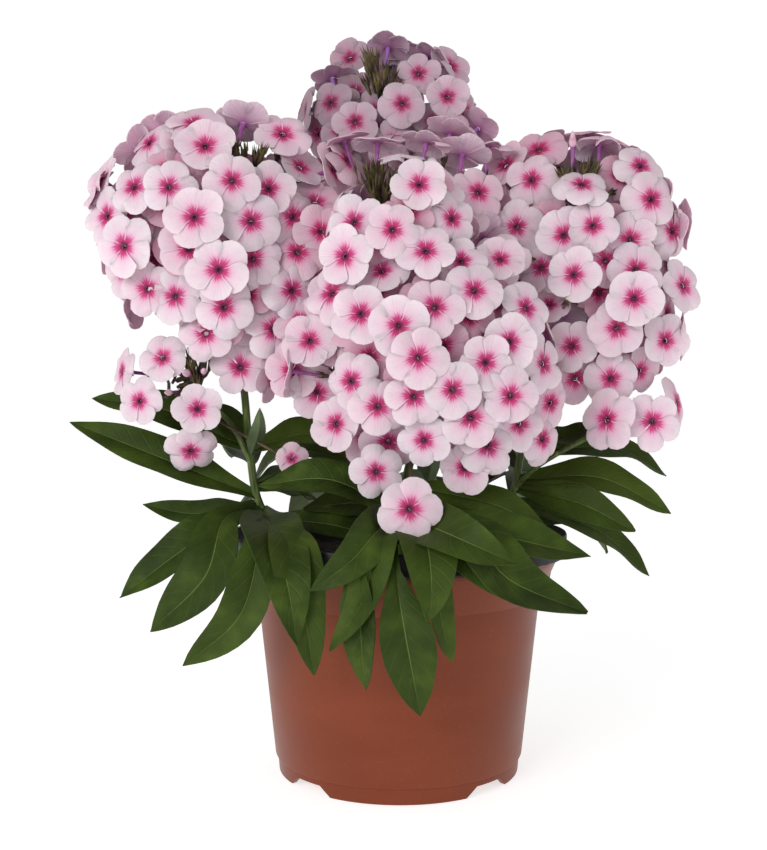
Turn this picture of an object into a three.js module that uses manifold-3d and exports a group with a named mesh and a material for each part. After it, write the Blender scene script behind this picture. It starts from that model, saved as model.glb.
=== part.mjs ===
// Garden phlox in full flower, standing in a black grow pot inside a terracotta-coloured
// cover pot. Millimetres, +Z up. Everything is laid out from the pots' common axis; the last
// lines move the whole plant so that the middle of its spread stands on the origin.
import * as THREE from 'three';
import { mergeVertices } from 'three/addons/utils/BufferGeometryUtils.js';
import Module from 'manifold-3d';

const wasm = await Module();
wasm.setup();

// ---------------------------------------------------------------- driving dimensions
const TURN = 2 * Math.PI;
const GAP = 0.3;              // left between pieces that touch
const ROUND = 28;             // sides of the pots and the soil

const RIM_R = 85;             // cover pot, 17 cm across its rim
const RIM_Z = 116;
const COLLAR_R = 75.8;        // where the flared collar meets the wall
const COLLAR_Z = 95;
const BODY_R = 66.6;          // lower end of the wall
const FOOT_R = 64.6;
const FOOT_Z = 7.7;
const WALL = 1.6;
const FLOOR_Z = 8.2;          // underside of the cover pot's floor
const NOTCHES = 4;            // gaps in the foot ring that let water out
const NOTCH = { low: 32, high: 17, height: 5 };
const DRAINS = { count: 4, r: 4, at: 38 };

const GROW_R = 90;            // grow pot: its collar sits on the cover pot's rim
const GROW_Z = 127.5;
const GROW_WALL = 1.5;
const SOIL_EDGE_Z = 113;
const SOIL_TOP_Z = 116;

const STEM_R = 2.4;
const STEM_SIDES = 6;
const STEM_STEPS = 9;
const HOLE_DEPTH = 20;

const PETAL_R = 14.6;         // mean radius of a floret
const LOBES = 5;
const FULL_RIM = [[0, 0.8, -1.2], [0.34, 1, 0.4], [0.68, 1, 0]];   // per lobe: share, reach, lift
const PLAIN_RIM = [[0, 0.64, -1.2], [0.5, 1.03, 0.3]];            // of the florets set by the rule
const EYE_DEPTH = 1.6;
const CUP = 3.5;              // how deep a floret is behind its face
const TUBE_R = 2;
const TUBE_END = 0.35;        // where the stalks end, as a share of the core
const OPEN_R = 13;            // clear of florets round the opening in a head
const SPACING = 22.6;           // least distance between florets set by the rule
const NEAR_LED = 19;          // and from those to the ones placed by hand
const FACING = 1.15;           // how far the florets in front turn to the viewer
const LATTICE = 300;          // places tried on each lobe
const CLEAR = 1.2;            // room kept round the other heads, per their half sizes
const SINK = 1.2;             // a floret that would cut another is set deeper by this
const DEPTHS = 8;             // so many times at most
const LOWEST = -0.7;          // no florets under a head, below this share of its half height
const RIM_STEPS = 18;         // places on a rim where that is looked at
const SKIN = 0.8;             // room kept over and under a petal

const LEAF_THICK = 1.5;       // at the midrib; the blade thins to its edges
const LEAF_FOLD = 0.3;        // how far the edges rise over the midrib, per half width

const COLOURS = {
  terracotta: 0x9c5440, black: 0x1d1d1f, soil: 0x2b2422,
  leaf: 0x3d5226, petal: 0xead6de,
};

// ---------------------------------------------------------------- solids
const vec = (p) => new THREE.Vector3(...p);
const UP = new THREE.Vector3(0, 0, 1);

function solid(geometry) {
  const bare = geometry.index ? geometry.toNonIndexed() : geometry.clone();
  bare.deleteAttribute('normal');
  bare.deleteAttribute('uv');
  const merged = mergeVertices(bare, 1e-3);
  return new wasm.Manifold(new wasm.Mesh({
    numProp: 3,
    vertProperties: new Float32Array(merged.attributes.position.array),
    triVerts: new Uint32Array(merged.index.array),
  }));
}

function geometryOf(body) {
  const mesh = body.getMesh();
  const geometry = new THREE.BufferGeometry();
  geometry.setAttribute('position', new THREE.BufferAttribute(mesh.vertProperties.slice(), 3));
  geometry.setIndex(new THREE.BufferAttribute(mesh.triVerts.slice(), 1));
  geometry.computeVertexNormals();
  return geometry;
}

function piece(name, body, colour, roughness) {
  const material = new THREE.MeshStandardMaterial({ color: COLOURS[colour], roughness });
  const mesh = new THREE.Mesh(geometryOf(body), material);
  mesh.name = name;
  return mesh;
}

// A closed body from its corners and its faces; a face with more corners is a fan.
function facets(points, faces) {
  const position = [];
  for (const face of faces) {
    for (let i = 1; i + 1 < face.length; i++) {
      for (const corner of [face[0], face[i], face[i + 1]]) {
        position.push(...points[corner].toArray());
      }
    }
  }
  const geometry = new THREE.BufferGeometry();
  geometry.setAttribute('position', new THREE.Float32BufferAttribute(position, 3));
  return solid(geometry);
}

function turned(profile) {
  const geometry = new THREE.LatheGeometry(profile.map((p) => new THREE.Vector2(...p)), ROUND);
  return solid(geometry.rotateX(Math.PI / 2));
}

function upright(r, sides, x, y, low, high) {
  const geometry = new THREE.CylinderGeometry(r, r, high - low, sides);
  return solid(geometry.rotateX(Math.PI / 2).translate(x, y, (low + high) / 2));
}

const joined = (bodies) => bodies.reduce((a, b) => a.add(b));
const cut = (body, tools) => tools.reduce((a, b) => a.subtract(b), body);

// The same seeded draw wherever it is written: x -> 16807 x mod (2^31 - 1).
function draws(seed) {
  let state = seed;
  return () => {
    state = (state * 16807) % 2147483647;
    return state / 2147483647;
  };
}

// ---------------------------------------------------------------- pots and soil
function drains(low, high) {
  return Array.from({ length: DRAINS.count }, (_, i) => {
    const a = TURN * i / DRAINS.count;
    return upright(DRAINS.r, 8, DRAINS.at * Math.cos(a), DRAINS.at * Math.sin(a), low, high);
  });
}

function coverPot() {
  const shell = turned([
    [0, FLOOR_Z], [FOOT_R - 2.2, FLOOR_Z], [FOOT_R - 2.8, 0], [FOOT_R, 0],
    [FOOT_R + 0.6, FOOT_Z], [BODY_R, FOOT_Z + 1], [COLLAR_R, COLLAR_Z],
    [COLLAR_R + 0.8, COLLAR_Z + 0.2], [RIM_R - 0.4, RIM_Z - 3], [RIM_R, RIM_Z],
    [RIM_R - WALL, RIM_Z], [COLLAR_R - 1.2, COLLAR_Z + 1], [BODY_R - 1.8, FLOOR_Z + 2],
    [0, FLOOR_Z + 2],
  ]);
  const gap = new THREE.Shape([
    new THREE.Vector2(-NOTCH.low / 2, -1), new THREE.Vector2(NOTCH.low / 2, -1),
    new THREE.Vector2(NOTCH.high / 2, NOTCH.height),
    new THREE.Vector2(-NOTCH.high / 2, NOTCH.height),
  ]);
  const notches = Array.from({ length: NOTCHES }, (_, i) => {
    const block = new THREE.ExtrudeGeometry(gap, { depth: 20, bevelEnabled: false });
    block.rotateX(Math.PI / 2).translate(0, FOOT_R + 8, 0);
    return solid(block.rotateZ(TURN * (i + 0.5) / NOTCHES));
  });
  return cut(shell, [...notches, ...drains(0, FLOOR_Z + 4)]);
}

const growFloor = FLOOR_Z + 2 + GAP;
const growCollar = RIM_Z + GAP;

function growPot() {
  const shell = turned([
    [0, growFloor], [BODY_R - 4, growFloor], [COLLAR_R - 2.4, COLLAR_Z + 1],
    [RIM_R - 3.4, growCollar], [GROW_R, growCollar], [GROW_R, GROW_Z],
    [GROW_R - GROW_WALL, GROW_Z], [GROW_R - GROW_WALL - 0.4, growCollar + GROW_WALL],
    [RIM_R - 4.6, growCollar + GROW_WALL], [COLLAR_R - 3.9, COLLAR_Z + 2],
    [BODY_R - 5.4, growFloor + GROW_WALL], [0, growFloor + GROW_WALL],
  ]);
  return cut(shell, drains(growFloor - 1, growFloor + 3));
}

function soilBody(stems) {
  const low = growFloor + GROW_WALL + GAP;
  const clear = GAP + 0.2;
  const block = turned([
    [0, low], [BODY_R - 5.4 - clear, low], [COLLAR_R - 3.9 - clear, COLLAR_Z + 2],
    [RIM_R - 7, SOIL_EDGE_Z], [RIM_R - 28, SOIL_TOP_Z - 0.6], [0, SOIL_TOP_Z],
  ]);
  return cut(block, stems.map(({ route: [[x, y]] }) => {
    const r = STEM_R / Math.cos(Math.PI / STEM_SIDES) + 2 * GAP;
    return upright(r, 8, x, y, SOIL_TOP_Z - HOLE_DEPTH - GAP, SOIL_TOP_Z + 5);
  }));
}

// ---------------------------------------------------------------- florets
function across(aim) {
  const level = Math.abs(aim.z) > 0.95 ? vec([1, 0, 0]) : UP;
  const east = new THREE.Vector3().crossVectors(level, aim).normalize();
  return { east, north: new THREE.Vector3().crossVectors(aim, east) };
}

// A flat five-lobed face with a sunken eye. Behind it a three-sided tube runs back, tapering to
// the stalk that ends at root inside the head.
function floret({ at, aim, spin, r, root, led }) {
  const { east, north } = across(aim);
  const place = (angle, reach, lift) => at.clone()
    .addScaledVector(east, reach * Math.cos(angle + spin))
    .addScaledVector(north, reach * Math.sin(angle + spin))
    .addScaledVector(aim, lift);
  const points = [];
  for (let lobe = 0; lobe < LOBES; lobe++) {
    for (const [share, reach, lift] of led ? FULL_RIM : PLAIN_RIM) {
      points.push(place(TURN * (lobe + share) / LOBES, reach * r, lift));
    }
  }
  const rim = points.length;
  const eye = points.push(place(0, 0, -EYE_DEPTH)) - 1;
  for (let k = 0; k < 3; k++) points.push(place(TURN * k / 3, TUBE_R, -CUP));
  const end = points.push(root) - 1;
  const neck = (k) => eye + 1 + (k % 3);
  const turn = (k) => Math.round(k * rim / 3) % rim;
  const faces = [];
  for (let i = 0; i < rim; i++) faces.push([eye, i, (i + 1) % rim]);
  for (let k = 0; k < 3; k++) {
    for (let i = turn(k); i !== turn(k + 1); i = (i + 1) % rim) {
      faces.push([neck(k), (i + 1) % rim, i]);
    }
    faces.push([neck(k), neck(k + 1), turn(k + 1)], [neck(k), end, neck(k + 1)]);
  }
  return facets(points, faces);
}

// ---------------------------------------------------------------- leaves
const LEAF_SHAPE = [[0.16, 0.52], [0.38, 0.95], [0.62, 0.95], [0.84, 0.58]];
const STALK_SHARE = 0.16;     // width of a leaf's stalk, as a share of the blade's
const STALK_BEND = 0.85;      // a long stalk bends here, as a share of its length

// A lance-shaped blade whose midrib passes through points on its way to the tip. The first
// part of it, the share given by stalk, stays narrow.
function leaf(base, { through, width, roll, stalk }) {
  const rib = new THREE.CatmullRomCurve3([base, ...through.map(vec)], false, 'catmullrom');
  const out = vec(through.at(-1)).sub(base).setZ(0).normalize();
  const flat = new THREE.Vector3().crossVectors(out, UP);
  const rows = LEAF_SHAPE.map(([t, share]) => [stalk + (1 - stalk) * t, share]);
  if (stalk > 0) rows.unshift([STALK_BEND * stalk, STALK_SHARE]);
  const points = [];
  for (const [t, share] of [[0, STALK_SHARE], ...rows]) {
    const middle = rib.getPointAt(t);
    const along = rib.getTangentAt(t);
    const level = flat.clone().projectOnPlane(along).normalize();
    const across = level.applyAxisAngle(along, roll);
    const over = new THREE.Vector3().crossVectors(across, along);
    const half = share * width / 2;
    const edge = middle.clone().addScaledVector(over, LEAF_FOLD * half);
    points.push(edge.clone().addScaledVector(across, half), middle);
    points.push(edge.clone().addScaledVector(across, -half));
    points.push(middle.clone().addScaledVector(over, -LEAF_THICK * (0.55 + 0.45 * share)));
  }
  const last = points.length;
  points.push(rib.points.at(-1).clone());
  const faces = [[0, 1, 2, 3]];
  for (let row = 0; row + 4 < last; row += 4) {
    for (let k = 0; k < 4; k++) {
      const next = (k + 1) % 4;
      faces.push([row + k, row + 4 + k, row + 4 + next, row + next]);
    }
  }
  for (let k = 0; k < 4; k++) faces.push([last - 4 + k, last, last - 4 + (k + 1) % 4]);
  return facets(points, faces);
}

// ---------------------------------------------------------------- leafy stems
// route: the stem from its foot in the soil to the heart of its head.
// branches: side stalks to a spray.
// leaves: height on the stem, points that the midrib passes through up to its tip, width, roll
// (degrees) about the midrib, and the share of it that is a narrow stalk.
const STEMS = [
  {
    name: 'leafy_stem_left',
    route: [[-56, -8, 96], [-56, -8, 110], [-56, -8, 121], [-74, -7, 141], [-80, -3, 170],
      [-83, 0, 200], [-87, -3, 236], [-86, -5, 252]],
    branches: [[[-79, -4, 164], [-92, -8, 188], [-116, -10, 205]]],
    leaves: [
      [146, [[-128, -12, 168], [-176, -6, 186]], 23, -50],
      [143, [[-107, -28, 124], [-143, -36, 97]], 25, -38],
      [141, [[-90, -31, 137], [-97, -50, 110], [-125, -48, 82]], 28, -36, 0.12],
      [137, [[-67, -63, 135], [-76, -72, 96], [-105, -66, 69]], 22, -30, 0.3],
      [140, [[-61, -70, 135], [-51, -98, 115], [-46, -104, 88]], 30, 0],
      [138, [[-52, -79, 132], [-43, -97, 99], [-39, -98, 73]], 24, 0, 0.3],
      [134, [[-35, -30, 134], [-7, -24, 125]], 20, 35],
      [140, [[-115, 18, 134], [-145, 30, 138]], 17, -45],
      [171, [[-128, 10, 192], [-171, 22, 198]], 22, -45],
      [170, [[-52, 6, 179], [-25, 8, 171]], 20, 40],
      [168, [[-73, -22, 182], [-72, -24, 194]], 9, 0],
      [173, [[-91, 6, 184], [-102, 10, 196]], 16, -40],
      [154, [[-52, 16, 159], [-38, 27, 150]], 22, 0],
      [163, [[-91, 34, 170], [-98, 55, 163]], 22, 0],
    ],
  },
  {
    name: 'leafy_stem_front',
    route: [[0, -40, 96], [0, -40, 110], [0, -40, 122], [-2, -43, 134], [4, -44, 160],
      [10, -42, 184], [15, -40, 206], [16, -38, 216]],
    branches: [],
    leaves: [
      [140, [[-12, -84, 136], [-20, -98, 121], [-40, -102, 113]], 19, -20],
      [137, [[-9, -89, 135], [-16, -103, 109], [-31, -106, 86]], 20, -10],
      [135, [[-18, -91, 133], [-17, -104, 92], [-15, -101, 67]], 17, 10, 0.45],
      [142, [[-34, -50, 159], [-71, -40, 155]], 23, -42],
      [136, [[-3, -89, 133], [2, -107, 100], [10, -108, 57]], 26, 0, 0.3],
      [138, [[12, -89, 135], [15, -108, 114], [13, -114, 101]], 27, 0, 0.1],
      [142, [[30, -88, 132], [54, -98, 124]], 19, 30],
      [139, [[33, -83, 134], [52, -94, 116], [88, -88, 100]], 25, 32, 0.1],
      [147, [[49, -68, 139], [93, -64, 123]], 23, 40],
      [156, [[50, -52, 146], [77, -60, 129]], 20, 40],
      [136, [[14, -91, 133], [20, -103, 97], [25, -99, 79]], 13, 0, 0.4],
    ],
  },
  {
    name: 'leafy_stem_right',
    route: [[46, 5, 96], [46, 5, 110], [47, 5, 122], [61, 3, 143], [67, 5, 170],
      [80, 10, 200], [96, 13, 232], [103, 14, 250]],
    branches: [[[63, 3, 150], [80, -4, 166], [128, -8, 192]]],
    leaves: [
      [154, [[108, 0, 156], [146, -4, 137]], 23, 42],
      [150, [[96, -10, 143], [124, -18, 129]], 20, 60],
      [143, [[109, 14, 126], [139, 16, 100]], 21, 44],
      [170, [[121, 28, 170], [152, 34, 154]], 22, 40],
      [176, [[92, 16, 176], [108, 22, 184]], 20, 25],
      [131, [[90, 22, 133], [111, 32, 118], [123, 38, 89]], 27, 35],
      [146, [[77, 50, 152], [91, 75, 120]], 24, 0], [160, [[46, 43, 171], [36, 64, 160]], 22, 0],
    ],
  },
  {
    name: 'leafy_stem_back',
    route: [[-12, 34, 96], [-12, 34, 110], [-12, 34, 124], [-16, 52, 160], [-18, 60, 220],
      [-12, 62, 290], [-7, 62, 338]],
    branches: [],
    leaves: [
      [134, [[-40, 74, 149], [-56, 94, 132], [-65, 105, 90]], 27, 0],
      [136, [[-2, 81, 151], [5, 105, 134], [9, 119, 92]], 27, 0],
      [158, [[-66, 64, 166], [-93, 72, 138]], 24, -25],
      [164, [[16, 57, 170], [33, 59, 150]], 20, 0],
      [190, [[-38, 93, 198], [-50, 113, 180]], 22, 0],
      [214, [[-52, 57, 223], [-70, 56, 214]], 18, 0],
      [134, [[-62, 48, 152], [-91, 53, 132], [-108, 56, 84]], 26, -15],
    ],
  },
  {
    name: 'leafy_stem_rear',
    route: [[28, 40, 96], [28, 40, 110], [28, 40, 124], [38, 62, 150], [40, 80, 190],
      [38, 86, 224], [38, 86, 238]],
    branches: [],
    leaves: [
      [130, [[34, 83, 147], [37, 106, 125], [38, 119, 74]], 26, 0],
      [134, [[64, 75, 152], [82, 91, 130], [93, 100, 80]], 26, 0],
      [154, [[68, 102, 162], [84, 122, 128]], 24, 0],
      [156, [[24, 100, 165], [17, 118, 136]], 22, 0],
      [176, [[77, 84, 184], [97, 89, 166]], 20, 0], [180, [[15, 90, 188], [1, 98, 172]], 20, 0],
      [192, [[43, 113, 200], [45, 130, 180]], 18, 0],
    ],
  },
];

function tube(route, steps) {
  const outline = new THREE.Shape(Array.from({ length: STEM_SIDES }, (_, i) => (
    new THREE.Vector2(STEM_R, 0).rotateAround(new THREE.Vector2(), TURN * i / STEM_SIDES)
  )));
  const extrudePath = new THREE.CatmullRomCurve3(route.map(vec));
  return solid(new THREE.ExtrudeGeometry(outline, { steps, extrudePath }));
}

function onRoute(route, height) {
  const above = route.findIndex(([, , z]) => z > height);
  const [low, high] = [vec(route[above - 1]), vec(route[above])];
  return low.lerp(high, (height - low.z) / (high.z - low.z));
}

function leafyStem({ route, branches, leaves }) {
  const stalks = [tube(route, STEM_STEPS), ...branches.map((b) => tube(b, 3))];
  const blades = leaves.map(([height, through, width, roll, stalk = 0]) => (
    leaf(onRoute(route, height), {
      through, width, roll: THREE.MathUtils.degToRad(roll), stalk,
    })
  ));
  return joined([...stalks, ...blades]);
}

// ---------------------------------------------------------------- flower heads
// lobes: centre and half sizes of the swells that the florets' eyes lie on; core: the same of
// the solid heart. opening: where calyces show between the florets.
// led: florets that give the head its face. filled: the rule sets the rest round them.
const HEADS = [
  {
    name: 'flower_head_left',
    lobes: [[[-103, 4, 289], [60, 52, 60]], [[-84, -6, 256], [42, 38, 42]]],
    core: [[-97, 0, 278], [24, 22, 36]],
    opening: [-78, -12, 333],
    led: [
      [-61, -9, 338], [-52, -6, 321], [-54, -26, 292], [-74, -40, 288], [-83, -43, 308],
      [-98, -34, 327], [-66, -31, 306], [-115, -42, 305], [-134, -36, 306], [-151, -24, 293],
      [-139, -38, 276], [-101, -50, 289], [-105, -44, 274], [-89, -46, 263], [-88, -42, 245],
      [-114, -34, 251], [-129, -30, 255], [-74, -37, 270], [-54, -33, 254], [-82.5, -22, 215],
      [-158, -6, 314], [-53, -20, 275],
    ],
    filled: true,
    seed: 11,
  },
  {
    name: 'flower_head_back',
    lobes: [[[-6, 62, 350], [50, 44, 58]]],
    core: [[-7, 62, 348], [22, 20, 27]],
    opening: [-8, 34, 378],
    led: [
      [11, 30, 379], [2, 19, 360], [-28, 50, 393], [-38, 26, 362], [-24, 18, 350],
      [27, 26, 365], [38, 36, 358], [-57, 54, 366], [30, 52, 389],
    ],
    filled: true,
    seed: 23,
  },
  {
    name: 'flower_head_right',
    lobes: [[[100, 24, 292], [58, 50, 56]], [[108, 14, 256], [50, 44, 46]]],
    core: [[105, 16, 274], [24, 22, 36]],
    opening: [95, 8, 326],
    led: [
      [58, 12, 325], [70, -7, 314], [76, 14, 334], [95, -24, 309], [127, -9, 321],
      [131, -18, 302], [62, -9, 289], [85, -23, 283], [99, -29, 287], [89, -31, 262],
      [74, -18, 267], [90, -18, 226], [112, -27, 235], [120, -31, 250], [122, -25, 265],
      [120, -20, 281], [140, -14, 229], [157, 4, 233], [150, -10, 258], [110.5, -18, 209],
      [145, -6, 287],
    ],
    filled: true,
    seed: 37,
  },
  {
    name: 'flower_head_front',
    lobes: [[[0, -34, 282], [37, 36, 42]], [[16, -38, 224], [64, 46, 57]]],
    core: [[9, -36, 246], [24, 20, 48]],
    opening: [-7, -6, 314],
    led: [
      [-22, -60, 285], [-3, -71, 280], [11, -61, 302], [14, -76, 288], [-26, -66, 268],
      [13, -72, 270], [30, -65, 266], [-33, -58, 251], [-18, -76, 240], [0, -84, 234],
      [17, -80, 243], [36, -74, 251], [-45, -50, 227], [-54, -44, 213], [9, -89, 219],
      [-23, -70, 208], [-10, -76, 196], [7, -83, 201], [25, -86, 204], [41, -79, 217],
      [53, -72, 227], [53, -78, 201], [34, -80, 191], [-31, -56, 187], [-11, -66, 164],
      [12, -77, 180], [43, -68, 177], [59, -60, 187], [72, -48, 179], [32, -66, 166],
      [50, -52, 268], [6, -90, 154],
    ],
    filled: true,
    seed: 41,
  },
  {
    name: 'flower_head_rear',
    lobes: [[[36, 88, 255], [46, 38, 53]]],
    core: [[38, 86, 252], [20, 17, 24]],
    opening: [38, 86, 312],
    led: [],
    filled: true,
    seed: 53,
  },
  {
    name: 'spray_left',
    lobes: [[[-118, -10, 210], [30, 24, 30]]],
    core: [[-120, -12, 208], [10, 9, 10]],
    led: [
      [-147, -10, 213], [-122, -26, 220], [-134, -28, 197.5], [-103, -32, 193.5],
      [-108, -24, 171],
    ],
    filled: false,
    seed: 61,
  },
  {
    name: 'spray_right',
    lobes: [[[132, -8, 194], [26, 22, 22]]],
    core: [[130, -8, 192], [10, 8, 9]],
    led: [[107, -25, 188], [134, -26, 190], [149, -4, 196]],
    filled: false,
    seed: 71,
  },
];

const scaled = (at, [centre, radii]) => at.clone().sub(vec(centre)).divide(vec(radii));

function nearestLobe(at, lobes) {
  const reach = lobes.map((lobe) => scaled(at, lobe).length());
  return lobes[reach.indexOf(Math.min(...reach))];
}

// Florets look out from their lobe, those in front more squarely forward and those low on a
// head nearly level.
function placed(at, head, led, draw) {
  const lobe = nearestLobe(at, head.lobes);
  const aim = scaled(at, lobe).divide(vec(lobe[1])).normalize();
  const aside = Math.min(1, Math.abs(scaled(at, lobe).x)) ** 4;
  aim.y -= FACING * (led ? 1 - aside : Math.max(0, -aim.y));
  aim.z = (aim.z < 0 ? 0.15 * aim.z : aim.z) + 0.1;
  aim.x += 0.3 * (draw() - 0.5);
  aim.y += 0.3 * (draw() - 0.5);
  aim.z += 0.3 * (draw() - 0.5);
  return {
    at,
    led,
    aim: aim.normalize(),
    spin: TURN * draw(),
    r: PETAL_R * (0.93 + 0.14 * draw()),
    root: vec(head.core[0]).lerp(at, TUBE_END / scaled(at, head.core).length()),
  };
}

// Whether the rim of floret b meets the face of floret a or the shallow cone behind it.
function meets(a, b) {
  const { east, north } = across(b.aim);
  const rim = Array.from({ length: RIM_STEPS }, (_, k) => b.at.clone()
    .addScaledVector(east, b.r * Math.cos(TURN * k / RIM_STEPS))
    .addScaledVector(north, b.r * Math.sin(TURN * k / RIM_STEPS)).sub(a.at));
  return rim.some((p, k) => {
    const height = p.dot(a.aim);
    const depth = CUP * (1 - p.length() / a.r) + SKIN;
    const next = rim[(k + 1) % RIM_STEPS].dot(a.aim);
    return p.length() < a.r && (height * next < 0 || (height < SKIN && height > -depth));
  });
}

const overlaps = (a, b) => (
  a.at.distanceTo(b.at) < a.r + b.r && (meets(a, b) || meets(b, a))
);

// Places spread evenly over a lobe, each a little under the florets placed by hand.
function lattice(lobe, draw) {
  return Array.from({ length: LATTICE }, (_, i) => {
    const z = 1 - 2 * (i + 0.5) / LATTICE;
    const ring = Math.sqrt(1 - z * z);
    const turn = i * Math.PI * (3 - Math.sqrt(5));
    const way = vec([ring * Math.cos(turn), ring * Math.sin(turn), z]);
    return way.multiplyScalar(0.93 + 0.06 * draw()).multiply(vec(lobe[1])).add(vec(lobe[0]));
  });
}

// The rest of a head: wherever there is room for a floret over or under its neighbours.
function florets(head) {
  const draw = draws(head.seed);
  const sites = head.led.map((at) => placed(vec(at), head, true, draw));
  if (!head.filled) return sites;
  const others = HEADS.filter((h) => h !== head).flatMap((h) => h.lobes);
  for (const lobe of head.lobes) {
    for (const at of lattice(lobe, draw)) {
      const hidden = head.lobes.some((l) => l !== lobe && scaled(at, l).length() < 0.85)
        || others.some((l) => scaled(at, l).length() < CLEAR);
      const open = scaled(at, lobe).z < LOWEST || vec(head.opening).distanceTo(at) < OPEN_R;
      const crowded = sites.some((s) => s.at.distanceTo(at) < (s.led ? NEAR_LED : SPACING));
      if (hidden || open || crowded) continue;
      const floret = placed(at, head, false, draw);
      let steps = 0;
      while (steps < DEPTHS && sites.some((s) => overlaps(s, floret))) {
        floret.at.addScaledVector(floret.aim, -SINK);
        steps += 1;
      }
      if (steps < DEPTHS) sites.push(floret);
    }
  }
  return sites;
}

function core({ core: [centre, radii] }, grow) {
  const blob = new THREE.IcosahedronGeometry(1, 0);
  return solid(blob.scale(...radii.map((r) => r + grow)).translate(...centre));
}

const flowerHead = (head) => joined([core(head, 0), ...florets(head).map(floret)]);

// ---------------------------------------------------------------- the whole plant
const plant = new THREE.Group();
plant.add(piece('cover_pot', coverPot(), 'terracotta', 0.45));
plant.add(piece('grow_pot', growPot(), 'black', 0.35));
plant.add(piece('soil', soilBody(STEMS), 'soil', 1));
const sockets = HEADS.map((head) => core(head, 1.5 * GAP));
for (const stem of STEMS) {
  plant.add(piece(stem.name, cut(leafyStem(stem), sockets), 'leaf', 0.55));
}
for (const head of HEADS) {
  plant.add(piece(head.name, flowerHead(head), 'petal', 0.7));
}

const spread = new THREE.Box3().setFromObject(plant);
const middle = spread.getCenter(new THREE.Vector3());
plant.position.set(-middle.x, -middle.y, -spread.min.z);

export default plant;
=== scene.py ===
"""Garden phlox in full flower, in its two nested plastic pots.

The plant is laid out in millimetres from the pots' common axis, as in the solids, and each piece
is put into the frame's metres when its mesh is finished.
"""
import math

import bpy
from mathutils import Matrix, Vector


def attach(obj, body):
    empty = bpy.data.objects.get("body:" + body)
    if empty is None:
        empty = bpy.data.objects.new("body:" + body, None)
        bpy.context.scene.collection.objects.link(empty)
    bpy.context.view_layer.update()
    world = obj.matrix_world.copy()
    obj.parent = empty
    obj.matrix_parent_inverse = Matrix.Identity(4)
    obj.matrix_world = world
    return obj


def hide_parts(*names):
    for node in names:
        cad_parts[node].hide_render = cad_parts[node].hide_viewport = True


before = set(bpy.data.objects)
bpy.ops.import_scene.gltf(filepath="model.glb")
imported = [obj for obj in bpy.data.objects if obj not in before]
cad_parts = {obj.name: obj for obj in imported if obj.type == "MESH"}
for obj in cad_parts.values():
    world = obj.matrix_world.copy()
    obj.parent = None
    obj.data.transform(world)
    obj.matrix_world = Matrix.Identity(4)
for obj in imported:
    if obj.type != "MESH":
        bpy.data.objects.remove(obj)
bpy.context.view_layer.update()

MM = 0.001
AXIS = Vector((6.0406, -7.8226, 0))      # the pots' common axis in the frame, in mm
TO_FRAME = Matrix.Scale(MM, 4) @ Matrix.Translation(AXIS)
TURN = 2 * math.pi
UP = Vector((0, 0, 1))
ROUND = 112                              # sides of everything turned

# the rule that places the solids' florets
PETAL_R = 14.6                           # mean radius of a floret
CUP = 3.5                                # how deep a floret is behind its face
SKIN = 0.8                               # room kept over and under a petal
RIM_STEPS = 18                           # places on a rim where that is looked at
FACING = 1.15                            # how far the florets in front turn to the viewer
OPEN_R = 13                              # clear of florets round the opening in a head
SPACING = 22.6                           # least distance between florets set by the rule
NEAR_LED = 19                            # and from those to the listed ones
LATTICE = 300                            # places tried on each lobe
INSIDE = 0.85                            # a place this far in another lobe of its head is hidden
CLEAR = 1.2                              # room kept round the other heads, per their half sizes
SINK = 1.2                               # a floret that would cut another is set deeper by this
DEPTHS = 8                               # so many times at most
LOWEST = -0.7                            # no florets below this share of a lobe's half height

# what is added to them here
WIDE_R = 23                              # how wide a head opens round its bare calyces
LOOSE = 0.09                             # how far a floret looks off its lobe's way out
UNDER = 0.8                              # how far out the half hidden florets lie, per the lobe
UNDER_NEAR = 10                          # least distance from those to the outer ones
UNDER_SPACING = 18                       # and from one to the next
UNDER_SIZE = 0.93                        # their size, per an outer one's


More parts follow.
